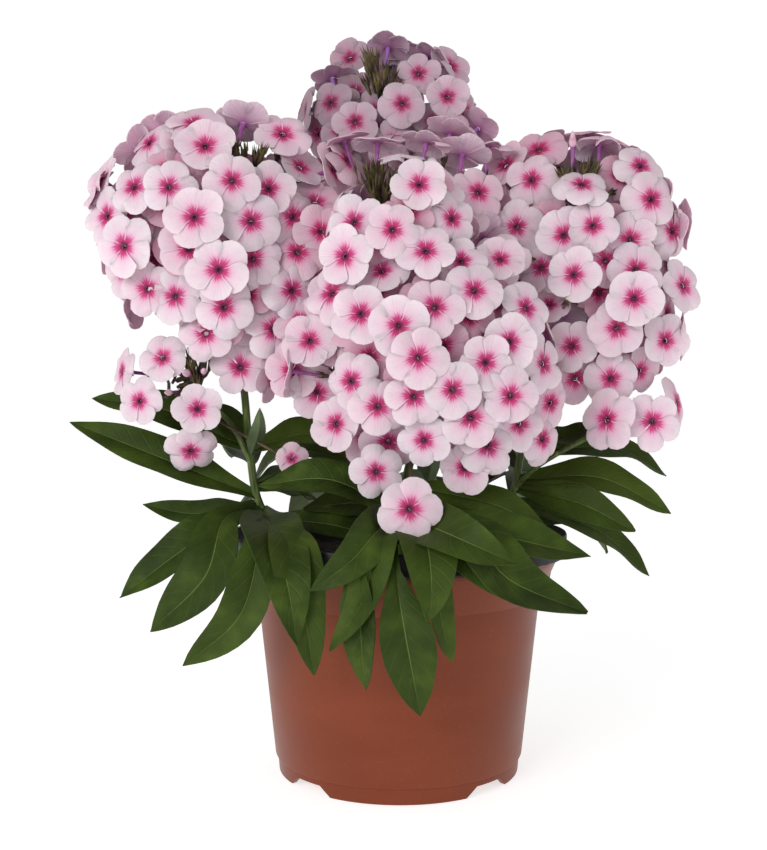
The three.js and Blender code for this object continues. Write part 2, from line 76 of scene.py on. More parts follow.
# ------------------------------------------------------------------ the plant's layout, in mm
# route: the stem from its foot to the heart of its head; branches: side stalks to a spray.
# leaves: height on the stem, points of the midrib out to the tip, width, roll (degrees), and the
# share of the midrib that is a bare stalk.
STEMS = [
    {
        "name": "left",
        "route": [(-56, -8, 96), (-56, -8, 110), (-56, -8, 121), (-74, -7, 141), (-80, -3, 170),
                  (-83, 0, 200), (-87, -3, 236), (-86, -5, 252)],
        "branches": [[(-79, -4, 164), (-92, -8, 188), (-116, -10, 205)]],
        "leaves": [
            (146, [(-128, -12, 168), (-176, -6, 186)], 23, -50, 0),
            (143, [(-107, -28, 124), (-143, -36, 97)], 25, -38, 0),
            (141, [(-90, -31, 137), (-97, -50, 110), (-125, -48, 82)], 28, -36, 0.12),
            (137, [(-67, -63, 135), (-76, -72, 96), (-105, -66, 69)], 22, -30, 0.3),
            (140, [(-61, -70, 135), (-51, -98, 115), (-46, -104, 88)], 30, 0, 0),
            (138, [(-52, -79, 132), (-43, -97, 99), (-39, -98, 73)], 24, 0, 0.3),
            (134, [(-35, -30, 134), (-7, -24, 125)], 20, 35, 0),
            (140, [(-115, 18, 134), (-145, 30, 138)], 17, -45, 0),
            (171, [(-128, 10, 192), (-171, 22, 198)], 22, -45, 0),
            (170, [(-52, 6, 179), (-25, 8, 171)], 20, 40, 0),
            (168, [(-73, -22, 182), (-72, -24, 194)], 9, 0, 0),
            (173, [(-91, 6, 184), (-102, 10, 196)], 16, -40, 0),
            (154, [(-52, 16, 159), (-38, 27, 150)], 22, 0, 0),
            (163, [(-91, 34, 170), (-98, 55, 163)], 22, 0, 0),
            (150, [(-62, 12, 148), (-46, 24, 141)], 24, 30, 0),
        ],
    },
    {
        "name": "front",
        "route": [(0, -40, 96), (0, -40, 110), (0, -40, 122), (-2, -43, 134), (4, -44, 160),
                  (10, -42, 184), (15, -40, 206), (16, -38, 216)],
        "branches": [],
        "leaves": [
            (140, [(-10, -86, 138), (-22, -101, 126), (-40, -104, 113)], 22, -50, 0),
            (137, [(-9, -89, 135), (-16, -103, 109), (-31, -106, 86)], 20, -10, 0),
            (135, [(-18, -91, 133), (-17, -104, 92), (-15, -101, 67)], 17, 10, 0.45),
            (142, [(-34, -50, 159), (-71, -40, 155)], 23, -42, 0),
            (136, [(-3, -89, 133), (2, -107, 100), (10, -108, 57)], 25, 0, 0.48),
            (138, [(12, -89, 135), (15, -108, 114), (13, -114, 101)], 27, 0, 0.1),
            (142, [(24, -99, 138), (53, -108, 126)], 26, 40, 0),
            (139, [(33, -83, 134), (52, -94, 116), (88, -88, 100)], 30, 32, 0.1),
            (147, [(49, -68, 134), (93, -64, 123)], 26, 40, 0),
            (156, [(50, -52, 146), (77, -60, 129)], 20, 40, 0),
            (136, [(14, -91, 133), (20, -103, 97), (25, -99, 79)], 13, 0, 0.4),
            (141, [(24, -86, 131), (38, -96, 119), (52, -97, 107)], 16, 45, 0),
            (134, [(-18, -22, 144), (-50, -20, 141)], 24, -40, 0),
        ],
    },
    {
        "name": "right",
        "route": [(46, 5, 96), (46, 5, 110), (47, 5, 122), (61, 3, 143), (67, 5, 170),
                  (80, 10, 200), (96, 13, 232), (103, 14, 250)],
        "branches": [[(63, 3, 150), (80, -4, 166), (128, -8, 192)]],
        "leaves": [
            (154, [(108, 0, 156), (146, -4, 137)], 23, 42, 0),
            (150, [(96, -10, 143), (124, -18, 129)], 20, 60, 0),
            (143, [(109, 14, 126), (139, 16, 100)], 21, 44, 0),
            (170, [(121, 28, 170), (152, 34, 154)], 22, 40, 0),
            (176, [(92, 16, 176), (108, 22, 184)], 20, 25, 0),
            (131, [(90, 22, 133), (108, 32, 123), (120, 40, 109)], 27, 35, 0),
            (146, [(77, 50, 152), (91, 75, 120)], 24, 0, 0),
            (160, [(46, 43, 171), (36, 64, 160)], 22, 0, 0),
        ],
    },
    {
        "name": "back",
        "route": [(-12, 34, 96), (-12, 34, 110), (-12, 34, 124), (-16, 52, 160), (-18, 60, 220),
                  (-12, 62, 290), (-7, 62, 338)],
        "branches": [],
        "leaves": [
            (134, [(-40, 74, 149), (-56, 94, 132), (-65, 105, 90)], 27, 0, 0),
            (136, [(-2, 81, 151), (5, 105, 134), (9, 119, 92)], 27, 0, 0),
            (158, [(-66, 64, 166), (-93, 72, 138)], 24, -25, 0),
            (164, [(16, 57, 170), (33, 59, 150)], 20, 0, 0),
            (190, [(-38, 93, 198), (-50, 113, 180)], 22, 0, 0),
            (214, [(-52, 57, 223), (-70, 56, 214)], 18, 0, 0),
            (134, [(-62, 48, 152), (-91, 53, 132), (-108, 56, 84)], 26, -15, 0),
        ],
    },
    {
        "name": "rear",
        "route": [(28, 40, 96), (28, 40, 110), (28, 40, 124), (38, 62, 150), (40, 80, 190),
                  (38, 86, 224), (38, 86, 238)],
        "branches": [],
        "leaves": [
            (130, [(34, 83, 147), (37, 106, 125), (38, 119, 74)], 26, 0, 0),
            (134, [(64, 75, 152), (82, 91, 130), (93, 100, 80)], 26, 0, 0),
            (154, [(68, 102, 162), (84, 122, 128)], 24, 0, 0),
            (156, [(24, 100, 165), (17, 118, 136)], 22, 0, 0),
            (176, [(77, 84, 184), (97, 89, 166)], 20, 0, 0),
            (180, [(15, 90, 188), (1, 98, 172)], 20, 0, 0),
            (192, [(43, 113, 200), (45, 130, 180)], 18, 0, 0),
        ],
    },
]

# lobes: centre and half sizes of the swells that the florets' eyes lie on; core: the same of the
# heart, where the stalks start. opening, gaps: where it is open. led: florets placed one by one.
# moved: (number of the floret, its place, the way it looks), where it lies otherwise than in the
# solids. more: florets that the solids don't have, between and behind these, as (place, way, size).
# full: size of the petals, per that in the solids. tuft: calyces that show bare, as (place, spread,
# rise, number). buds: (place, way, size). filled: whether the rule covers the rest of the lobes
# with florets. seed: where its draws start.
HEADS = [
    {
        "name": "flower_head_left",
        "lobes": [((-103, 4, 289), (60, 52, 60)), ((-84, -6, 256), (42, 38, 42))],
        "core": ((-97, 0, 278), (24, 22, 36)),
        "opening": (-78, -12, 333),
        "led": [
            (-61, -9, 338), (-52, -6, 321), (-54, -26, 292), (-74, -40, 288), (-83, -43, 308),
            (-98, -34, 327), (-66, -31, 306), (-115, -42, 305), (-134, -36, 306),
            (-151, -24, 293), (-139, -38, 276), (-101, -50, 289), (-105, -44, 274),
            (-89, -46, 263), (-88, -42, 245), (-114, -34, 251), (-129, -30, 255),
            (-74, -37, 270), (-54, -33, 254), (-82.5, -22, 215), (-158, -6, 314),
            (-53, -20, 275),
        ],
        "moved": [(13, (-89, -51, 263), (0.03, -1, 0.05))],
        "more": [
            ((-125, -24, 292), (-0.3, -1, 0.1), 0.9), ((-105, -26, 311), (-0.1, -1, 0.4), 0.95),
            ((-112, -18, 328), (0.8, -0.6, 0.3), 0.9), ((-126, -22, 272), (-0.3, -1, -0.1), 0.95),
            ((-125, -2, 340), (-0.15, 0.75, 0.65), 1), ((-138, -2, 331), (-0.5, 0.6, 0.6), 1),
            ((-162, -8, 309), (-0.85, -0.2, 0.3), 0.9), ((-82, -8, 344), (0.1, 0.6, 0.75), 1),
            ((-137, -10, 279), (-0.9, 0.3, 0), 1), ((-52, -28, 274), (0.1, -1, 0.3), 1),
            ((-44, -12, 301), (0.1, -1, 0.4), 1), ((-75, -32, 269), (0, -1, 0.2), 1),
            ((-72, -24, 251), (0.3, -1, 0), 1), ((-34, -6, 320), (0.85, -0.45, 0.2), 1),
            ((-27, -4, 325), (0.75, -0.5, 0.45), 0.95), ((-71, -22, 234), (0.2, -1, -0.2), 0.95),
            ((-40, -24, 285), (0.2, -1, 0.1), 0.95), ((-86, -22, 299), (-0.1, -1, 0.2), 1),
            ((-101, -18, 237), (0, -1, -0.3), 0.95), ((-144, -10, 301), (-0.4, -1, 0.2), 0.9),
            ((-66, -20, 210), (0.93, -0.3, -0.2), 0.95),
        ],
        "full": 1.06,
        "tuft": ((-78, -14, 320), 7, 12, 9),
        "buds": [],
        "filled": True,
        "seed": 11,
    },
    {
        "name": "flower_head_back",
        "lobes": [((-6, 62, 350), (50, 44, 58))],
        "core": ((-7, 62, 348), (22, 20, 27)),
        "opening": (-8, 34, 378),
        "gaps": [(-30, 64, 386), (-32, 96, 386), (20, 50, 362), (24, 88, 366)],
        "led": [
            (11, 30, 379), (2, 19, 360), (-28, 50, 393), (-38, 26, 362), (-24, 18, 350),
            (27, 26, 365), (38, 36, 358), (-57, 54, 366), (30, 52, 389),
        ],
        "moved": [],
        "more": [
            ((-6, 46, 398), (0.1, 0.5, 0.85), 1), ((-38, 46, 381), (-0.15, 0.4, 0.9), 1),
            ((28, 50, 388), (0.75, 0.2, 0.5), 1), ((16, 52, 395), (0.3, 0.4, 0.8), 0.95),
            ((45, 32, 349), (0.6, 0.5, 0.5), 1), ((-53, 40, 362), (-0.9, -0.2, 0.1), 1),
            ((-25, 44, 372), (-0.2, -1, 0.1), 1), ((0, 24, 345), (0, -0.5, 0.85), 1),
            ((-13, 32, 358), (-0.1, -1, 0), 1), ((19, 30, 352), (0.3, -1, 0.1), 0.95),
            ((-33, 24, 347), (-0.3, -1, 0), 1), ((31, 22, 343), (0.4, -0.8, 0.1), 1),
        ],
        "full": 0.92,
        "tuft": ((-10, 30, 374), 8, 20, 18),
        "buds": [((-18.6, 40, 378), (-0.3, -0.8, 0.6), 1.1)],
        "filled": True,
        "seed": 23,
    },
    {
        "name": "flower_head_right",
        "lobes": [((100, 24, 292), (58, 50, 56)), ((108, 14, 256), (50, 44, 46))],
        "core": ((105, 16, 274), (24, 22, 36)),
        "opening": (95, 8, 326),
        "led": [
            (58, 12, 325), (70, -7, 314), (76, 14, 334), (95, -24, 309), (127, -9, 321),
            (131, -18, 302), (62, -9, 289), (85, -23, 283), (99, -29, 287), (89, -31, 262),
            (74, -18, 267), (90, -18, 226), (112, -27, 235), (120, -31, 250), (122, -25, 265),
            (120, -20, 281), (140, -14, 229), (157, 4, 233), (150, -10, 258), (110.5, -18, 209),
            (145, -6, 287),
        ],
        "moved": [(3, (94, -24, 309), (0.1, -0.72, 0.7)), (17, (152, 4, 233), (0.95, -0.3, 0))],
        "more": [
            ((108, 6, 335), (0.1, 0.35, 0.93), 1), ((103, 22, 329), (-0.1, 0.7, 0.6), 1),
            ((122, 6, 313), (0.5, 0.7, 0.3), 1), ((147, 4, 289), (0.9, 0.45, 0), 1),
            ((107, -22, 270), (0.3, -1, 0.2), 1), ((79, -16, 248), (-0.1, -1, 0.3), 0.7),
            ((86, -8, 244), (0, 0.9, -0.2), 1), ((42, -12, 307), (0.3, -1, 0.3), 1),
            ((32, -20, 293), (0.2, -0.8, 0.8), 1), ((44, -10, 283), (-0.2, 0.9, 0.3), 1),
            ((53, -24, 271), (0, -1, 0.3), 1), ((116, -6, 297), (0.4, -1, 0.1), 0.95),
            ((50, -14, 249), (-0.1, -1, 0.1), 1), ((69, -12, 243), (0.1, -1, 0), 1),
            ((106, -12, 224), (0.1, -1, -0.2), 1), ((128, -8, 213), (0.5, -0.9, -0.2), 0.95),
            ((143, -4, 244), (0.8, -0.5, 0), 1), ((142, 2, 304), (0.95, 0.2, 0.1), 1),
            ((64, -10, 227), (-0.1, -1, -0.1), 1), ((94, -6, 209), (0.2, -1, -0.3), 1),
            ((75, -4, 304), (0, -1, 0.2), 1),
        ],
        "full": 1.04,
        "tuft": ((95, -6, 311), 8, 10, 13),
        "buds": [((92, -4, 334), (0, 0, 1), 1.25)],
        "filled": True,
        "seed": 37,
    },
    {
        "name": "flower_head_front",
        "lobes": [((0, -34, 282), (37, 36, 42)), ((16, -38, 224), (64, 46, 57))],
        "core": ((9, -36, 246), (24, 20, 48)),
        "opening": (-7, -6, 314),
        "led": [
            (-22, -60, 285), (-3, -71, 280), (11, -61, 302), (14, -76, 288), (-26, -66, 268),
            (13, -72, 270), (30, -65, 266), (-33, -58, 251), (-18, -76, 240), (0, -84, 234),
            (17, -80, 243), (36, -74, 251), (-45, -50, 227), (-54, -44, 213), (9, -89, 219),
            (-23, -70, 208), (-10, -76, 196), (7, -83, 201), (25, -86, 204), (41, -79, 217),
            (53, -72, 227), (53, -78, 201), (34, -80, 191), (-31, -56, 187), (-11, -66, 164),
            (12, -77, 180), (43, -68, 177), (59, -60, 187), (72, -48, 179), (32, -66, 166),
            (50, -52, 268), (6, -90, 154),
        ],
        "moved": [(3, (14, -50, 287), (0.2, -1, 0.1)), (2, (10, -61, 303), (0.05, -1, 0.25)),
                  (12, (-44, -50, 228), (-0.1, -1, 0.1)), (31, (5, -90, 149), (0, -1, 0.15))],
        "more": [
            ((-11, -8, 334), (0.05, 0.1, 1), 1.06), ((15, -6, 334), (0.25, 0.15, 0.95), 1),
            ((-29, -2, 336), (-0.3, 0.1, 0.95), 1), ((34, 0, 329), (0.15, 0.45, 0.88), 1.05),
            ((28, 10, 342), (0.2, 0.3, 0.9), 1), ((48, 8, 335), (0.1, 0.1, 1), 1),
            ((1, -50, 255), (0, -1, 0.2), 1), ((-54, -40, 213), (-0.1, -1, 0), 1),
            ((-41, -40, 202), (0, -1, -0.1), 1),
            ((-28, -46, 227), (0, -1, 0), 1), ((-50, -34, 238), (-0.1, -1, 0.1), 1),
            ((-17, -52, 219), (0, -1, 0), 1), ((28, -46, 233), (0, -1, 0.1), 1),
            ((36, -40, 237), (0.2, -1, 0.2), 1), ((19, -60, 201), (0, -1, 0), 0.95),
            ((76, -46, 197), (0.5, -0.85, -0.1), 1), ((-16, -54, 179), (-0.1, -1, -0.2), 1),
            ((-5, -56, 178), (0, -1, -0.3), 1), ((50, -52, 199), (0.1, -1, 0), 1),
            ((35, -54, 179), (0, -1, -0.3), 1), ((-35, -38, 249), (-0.1, -1, 0.2), 1),
            ((60, -42, 218), (0.3, -1, 0), 1), ((6, -52, 233), (0, -1, 0), 1),
            ((-39, -2, 269), (0, -1, 0), 1),
        ],
        "full": 1.0,
        "tuft": ((-10, -44, 302), 7, 14, 18),
        "buds": [],
        "filled": True,
        "seed": 41,
    },
    {
        "name": "flower_head_rear",
        "lobes": [((36, 88, 255), (46, 38, 53))],
        "core": ((38, 86, 252), (20, 17, 24)),
        "opening": (38, 86, 312),
        "led": [],
        "moved": [],
        "more": [],
        "full": 1.0,
        "tuft": ((38, 86, 300), 7, 8, 7),
        "buds": [],
        "filled": True,
        "seed": 53,
    },
    {
        "name": "spray_left",
        "lobes": [((-118, -10, 210), (30, 24, 30))],
        "core": ((-120, -12, 208), (10, 9, 10)),
        "opening": (-103, -14, 222),
        "led": [
            (-147, -10, 213), (-122, -26, 220), (-134, -28, 197.5), (-103, -32, 193.5),
            (-108, -24, 171),
        ],
        "moved": [(0, (-147, -10, 213), (-0.85, -0.5, 0.1)),
                  (4, (-108, -24, 171), (0.1, -0.8, -0.5))],
        "more": [
            ((-55, -30, 168), (0, -1, 0.2), 0.62),
        ],
        "full": 0.96,
        "tuft": ((-105, -16, 209), 8, 16, 15),
        "buds": [((-109, -30, 212), (-0.2, -1, 0.2), 1.2), ((-100, -30, 213), (0.2, -1, 0.2), 1),
                 ((-118, -30, 202), (-0.3, -1, 0), 1)],
        "filled": False,
        "seed": 61,
    },
    {
        "name": "spray_right",
        "lobes": [((132, -8, 194), (26, 22, 22))],
        "core": ((130, -8, 192), (10, 8, 9)),
        "opening": (131, -4, 230),
        "led": [(107, -25, 188), (134, -26, 190), (149, -4, 196)],
        "moved": [(1, (131, -26, 187), (0, -1, 0.1)), (2, (149, -4, 196), (0.87, -0.5, 0.15))],
        "more": [],
        "full": 1.1,
        "tuft": ((131, -4, 188), 4, 4, 3),
        "buds": [],
        "filled": False,
        "seed": 71,
    },
]


DRAW_STEP, DRAW_PRIME = 16807, 2 ** 31 - 1


def draws(seed):
    """Seeded draws from 0 to 1, the same ones that place the solids' florets."""
    state = seed
    while True:
        state = state * DRAW_STEP % DRAW_PRIME
        yield state / DRAW_PRIME


# ------------------------------------------------------------------ florets' places
def scaled(at, lobe):
    """The place as seen from the lobe's centre, in its half sizes: 1 long on its skin."""
    centre, half = lobe
    return Vector([(a - c) / h for a, c, h in zip(at, centre, half)])


def across(aim):
    """Two ways square to aim and to each other, the first of them level."""
    level = Vector((1, 0, 0)) if abs(aim.z) > 0.95 else UP
    east = level.cross(aim).normalized()
    return east, aim.cross(east)


def placed(at, head, led, draw):
    """A floret looks out from its lobe, those in front more squarely forward."""
    lobe = min(head["lobes"], key=lambda swell: scaled(at, swell).length)
    aim = Vector([s / h for s, h in zip(scaled(at, lobe), lobe[1])]).normalized()
    aside = min(1, abs(scaled(at, lobe).x)) ** 4
    aim.y -= FACING * ((1 - aside) if led else max(0, -aim.y))
    # low ones hardly look down
    aim.z = (0.15 * aim.z if aim.z < 0 else aim.z) + 0.1
    aim += Vector([0.3 * (next(draw) - 0.5) for _ in range(3)])
    return {"at": Vector(at), "aim": aim.normalized(), "spin": TURN * next(draw),
            "r": PETAL_R * (0.93 + 0.14 * next(draw)), "led": led}


def rim_of(floret):
    """Places round a floret's rim."""
    east, north = across(floret["aim"])
    turns = [TURN * k / RIM_STEPS for k in range(RIM_STEPS)]
    return [floret["at"] + floret["r"] * (math.cos(t) * east + math.sin(t) * north)
            for t in turns]


def meets(a, b):
    """Whether the rim of b meets the face of a or the shallow cone behind it."""
    rim = [p - a["at"] for p in rim_of(b)]
    heights = [p.dot(a["aim"]) for p in rim]
    for k, (p, height) in enumerate(zip(rim, heights)):
        if p.length < a["r"]:
            depth = CUP * (1 - p.length / a["r"]) + SKIN
            if height * heights[(k + 1) % RIM_STEPS] < 0 or -depth < height < SKIN:
                return True
    return False


def overlaps(a, b):
    """Whether two florets cut each other."""
    near = (a["at"] - b["at"]).length < a["r"] + b["r"]
    return near and (meets(a, b) or meets(b, a))


def lattice(lobe, draw):
    """Places spread evenly over a lobe by the golden angle, each a little under its skin."""
    centre, half = lobe
    places = []
    for i in range(LATTICE):
        z = 1 - 2 * (i + 0.5) / LATTICE
        ring = math.sqrt(1 - z * z)
        turn = i * math.pi * (3 - math.sqrt(5))
        share = 0.93 + 0.06 * next(draw)
        way = (ring * math.cos(turn), ring * math.sin(turn), z)
        places.append(Vector([share * w * h + c for w, h, c in zip(way, half, centre)]))
    return places


def florets(head):
    """The listed florets, and round them the rest wherever there is room for one."""
    draw = draws(head["seed"])
    sites = [placed(at, head, True, draw) for at in head["led"]]
    if not head["filled"]:
        return sites
    others = [lobe for h in HEADS if h is not head for lobe in h["lobes"]]
    for lobe in head["lobes"]:
        for at in lattice(lobe, draw):
            own = [other for other in head["lobes"] if other is not lobe]
            hidden = (any(scaled(at, other).length < INSIDE for other in own)
                      or any(scaled(at, other).length < CLEAR for other in others))
            low = scaled(at, lobe).z < LOWEST
            opened = (Vector(head["opening"]) - at).length < OPEN_R
            crowded = any((s["at"] - at).length < (NEAR_LED if s["led"] else SPACING)
                          for s in sites)
            if hidden or low or opened or crowded:
                continue
            floret = placed(at, head, False, draw)
            steps = 0
            while steps < DEPTHS and any(overlaps(s, floret) for s in sites):
                floret["at"] -= SINK * floret["aim"]
                steps += 1
            if steps < DEPTHS:
                sites.append(floret)
    return sites


# ------------------------------------------------------------------ materials
def linear(code):
    """sRGB hex to linear RGBA."""
    parts = [int(code[i:i + 2], 16) / 255 for i in (1, 3, 5)]
    return [c / 12.92 if c <= 0.04045 else ((c + 0.055) / 1.055) ** 2.4 for c in parts] + [1]


def add(tree, kind, links=(), stops=(), **settings):
    """A node with its settings and links. links: (input, source) pairs; a source is another node,
    a node's output, a value or a hex shade. stops: a ramp's (place, shade or level) pairs."""
    node = tree.nodes.new("ShaderNode" + kind)
    for name, value in settings.items():
        setattr(node, name, value)
    for name, source in links:
        entry = (node.inputs[name] if isinstance(name, int)
                 else next(i for i in node.inputs if i.enabled and i.name == name))
        if isinstance(source, bpy.types.Node):
            source = next(o for o in source.outputs if o.enabled)
        if isinstance(source, bpy.types.NodeSocket):
            tree.links.new(source, entry)
        else:
            entry.default_value = linear(source) if isinstance(source, str) else source
    for number, (place, shade) in enumerate(stops):
        band = node.color_ramp.elements
        stop = band[number] if number < 2 else band.new(place)
        stop.position = place
        stop.color = linear(shade) if isinstance(shade, str) else (shade, shade, shade, 1)
    return node


def finish_named(name, **sockets):
    """A Principled material with these values on its sockets, and its node tree."""
    material = bpy.data.materials.new(name)
    material.use_nodes = True
    shader = material.node_tree.nodes["Principled BSDF"]
    for socket, value in sockets.items():
        shader.inputs[socket.replace("_", " ")].default_value = value
    return material, material.node_tree


def coated(material, **sources):
    """The material, with these nodes led to the sockets of its shader."""
    shader = material.node_tree.nodes["Principled BSDF"]
    for socket, source in sources.items():
        output = next(o for o in source.outputs if o.enabled)
        material.node_tree.links.new(output, shader.inputs[socket.replace("_", " ")])
    return material


def from_midrib(tree, place):
    """How far a point of a petal or leaf lies off its midrib: 0 on it, 1 at the edge."""
    off = add(tree, "Math", [(0, place.outputs["X"]), (1, 0.5)], operation="SUBTRACT")
    off = add(tree, "Math", [(0, off)], operation="ABSOLUTE")
    return add(tree, "Math", [(0, off), (1, 2.0)], operation="MULTIPLY")


def petal_face():
    """Living petal, upper side: velvety and matt, faintly lit through. A magenta star round the
    throat frays into streaks, fades through a pink halo and is crossed by five pale seams."""
    material, tree = finish_named("phlox_petal_upper", Roughness=0.6,
                                  Subsurface_Weight=0.4, Subsurface_Scale=0.004,
                                  Subsurface_Radius=(1.0, 0.5, 0.62),
                                  Sheen_Weight=0.06, Sheen_Roughness=0.4,
                                  Specular_IOR_Level=0.3)
    uv = add(tree, "UVMap", uv_map="UVMap")
    place = add(tree, "SeparateXYZ", [("Vector", uv)])
    along = place.outputs["Y"]
    side = from_midrib(tree, place)
    # veins fan out along the petal, about 0.8 mm apart; the star frays along them
    fan = add(tree, "Mapping", [("Vector", uv), ("Scale", (17.0, 1.1, 1.0))])
    vein = add(tree, "TexNoise", [("Vector", fan), ("Scale", 1.4), ("Detail", 3.0)])
    fray = add(tree, "Math", [(0, vein), (1, 0.5)], operation="SUBTRACT")
    reach = add(tree, "Math", [(0, fray), (1, 0.5), (2, along)], operation="MULTIPLY_ADD")
    reach = add(tree, "Math", [(0, side), (1, 0.04), (2, reach)], operation="MULTIPLY_ADD")
    eye = add(tree, "ValToRGB", [("Fac", reach)],
              [(0.0, 1.0), (1.0, 0.0), (0.21, 0.94), (0.29, 0.5), (0.36, 0.12), (0.44, 0.0)])
    halo = add(tree, "ValToRGB", [("Fac", reach)],
               [(0.0, 1.0), (1.0, 0.0), (0.32, 0.72), (0.46, 0.38), (0.64, 0.16), (0.84, 0.03)])
    heart = add(tree, "ValToRGB", [("Fac", along)],
                [(0.0, "#560F32"), (1.0, "#D0568C"), (0.06, "#88124D"), (0.1, "#B41A62"),
                 (0.2, "#BC1D69"), (0.3, "#C6387B")])
    cloud = add(tree, "TexNoise", [("Vector", uv), ("Scale", 5.0), ("Detail", 3.0)])
    pale = add(tree, "Mix", [("Factor", cloud), ("A", "#E0C9D2"), ("B", "#EAD9E0")],
               data_type="RGBA")
    blush = add(tree, "Mix", [("Factor", halo), ("A", pale), ("B", "#EC98C0")], data_type="RGBA")
    star = add(tree, "Mix", [("Factor", eye), ("A", blush), ("B", heart)], data_type="RGBA")
    # five pale seams where the petals meet
    seam = add(tree, "ValToRGB", [("Fac", side)],
               [(0.0, 0.0), (1.0, 0.75), (0.84, 0.0), (0.93, 0.6)])
    seam_end = add(tree, "ValToRGB", [("Fac", along)],
                   [(0.0, 0.0), (1.0, 0.0), (0.1, 0.2), (0.16, 1.0), (0.5, 0.3)])
    seam = add(tree, "Math", [(0, seam), (1, seam_end)], operation="MULTIPLY")
    colour = add(tree, "Mix", [("Factor", seam), ("A", star), ("B", "#F2D8E3")],
                 data_type="RGBA")
    # painted shade: florets deep in the head are painted pinker, and those at the backs and in the
    # highest head a dull grey mauve, for the shade they lie in
    tint = add(tree, "Attribute", attribute_name="tint")
    painted_shade = add(tree, "ValToRGB", [("Fac", tint.outputs["Fac"])],
              [(0.0, "#FFFFFF"), (1.0, "#A99FA3"), (0.3, "#F3C8D6"), (0.6, "#DDD0D6")])
    colour = add(tree, "Mix", [("Factor", 1.0), ("A", colour), ("B", painted_shade)], data_type="RGBA",
                 blend_type="MULTIPLY")
    bump = add(tree, "Bump", [("Height", vein), ("Strength", 0.4), ("Distance", 0.0008)])
    return coated(material, Base_Color=colour, Normal=bump)


def petal_back():
    """The petals' undersides: greyish mauve, darker to the tube, with faint long veins."""
    material, tree = finish_named("phlox_petal_under", Roughness=0.7,
                                  Subsurface_Weight=0.25, Subsurface_Scale=0.004,
                                  Subsurface_Radius=(1.0, 0.5, 0.62),
                                  Specular_IOR_Level=0.3)
    uv = add(tree, "UVMap", uv_map="UVMap")
    place = add(tree, "SeparateXYZ", [("Vector", uv)])
    base = add(tree, "ValToRGB", [("Fac", place.outputs["Y"])],
               [(0.0, "#8A4A86"), (1.0, "#E2CBD7"), (0.12, "#AC739F"), (0.32, "#C9A3B9"),
                (0.75, "#D8BCCB")])
    fan = add(tree, "Mapping", [("Vector", uv), ("Scale", (15.0, 0.9, 1.0))])
    vein = add(tree, "TexNoise", [("Vector", fan), ("Scale", 1.5), ("Detail", 2.0)])
    line = add(tree, "ValToRGB", [("Fac", vein)], [(0.42, 0.0), (0.6, 0.35)])
    colour = add(tree, "Mix", [("Factor", line), ("A", base), ("B", "#B58FA8")],
                 data_type="RGBA")
    # painted shade: the tint greys and darkens the undersides of deep and back florets
    tint = add(tree, "Attribute", attribute_name="tint")
    colour = add(tree, "Mix", [("Factor", tint.outputs["Fac"]), ("A", colour),
                               ("B", "#CDBFCC")], data_type="RGBA", blend_type="MULTIPLY")
    bump = add(tree, "Bump", [("Height", vein), ("Strength", 0.3), ("Distance", 0.0005)])
    return coated(material, Base_Color=colour, Normal=bump)


def tube_skin():
    """The corolla's tube: smooth, streaked along its length, magenta-purple to clear violet."""
    material, tree = finish_named("phlox_tube", Roughness=0.5,
                                  Subsurface_Weight=0.05, Subsurface_Scale=0.001)
    where = add(tree, "TexCoord").outputs["Object"]
    streak = add(tree, "TexNoise", [("Vector", where), ("Scale", 320.0), ("Detail", 2.0)])
    purple = add(tree, "ValToRGB", [("Fac", streak)],
                 [(0.3, "#7A3568"), (0.7, "#AE66A8"), (0.5, "#95498A")])
    tint = add(tree, "Attribute", attribute_name="tint")
    colour = add(tree, "Mix", [("Factor", tint.outputs["Fac"]), ("A", purple), ("B", "#9A6CB8")],
                 data_type="RGBA")
    return coated(material, Base_Color=colour)


def throat_skin():
    """Inside of the tube's mouth: its own deep wine red, painted darker, almost black, for the
    shade down the narrow tube.
    """
    material, tree = finish_named("phlox_throat", Roughness=0.6)
    where = add(tree, "TexCoord").outputs["Object"]
    cloud = add(tree, "TexNoise", [("Vector", where), ("Scale", 500.0)])
    colour = add(tree, "ValToRGB", [("Fac", cloud)], [(0.3, "#4A1034"), (0.7, "#7E1F58")])
    return coated(material, Base_Color=colour)


def anther_skin():
    """Anthers and stigma: waxy cream, dusted with pollen."""
    material, tree = finish_named("phlox_anther", Roughness=0.75)
    where = add(tree, "TexCoord").outputs["Object"]
    dust = add(tree, "TexNoise", [("Vector", where), ("Scale", 900.0)])
    colour = add(tree, "ValToRGB", [("Fac", dust)], [(0.3, "#8A8260"), (0.7, "#DAD3B0")])
    return coated(material, Base_Color=colour)


def calyx_skin():
    """Calyces and flower stalks: olive green flushed brown-purple, finely ribbed."""
    material, tree = finish_named("phlox_calyx", Roughness=0.55,
                                  Specular_IOR_Level=0.35)
    where = add(tree, "TexCoord").outputs["Object"]
    blotch = add(tree, "TexNoise", [("Vector", where), ("Scale", 130.0), ("Detail", 2.0)])
    colour = add(tree, "ValToRGB", [("Fac", blotch)],
                 [(0.3, "#2C1E22"), (0.76, "#53304A"), (0.46, "#463C22"), (0.62, "#6A5F3A")])
    rib = add(tree, "TexNoise", [("Vector", where), ("Scale", 700.0)])
    bump = add(tree, "Bump", [("Height", rib), ("Strength", 0.4), ("Distance", 0.0004)])
    return coated(material, Base_Color=colour, Normal=bump)


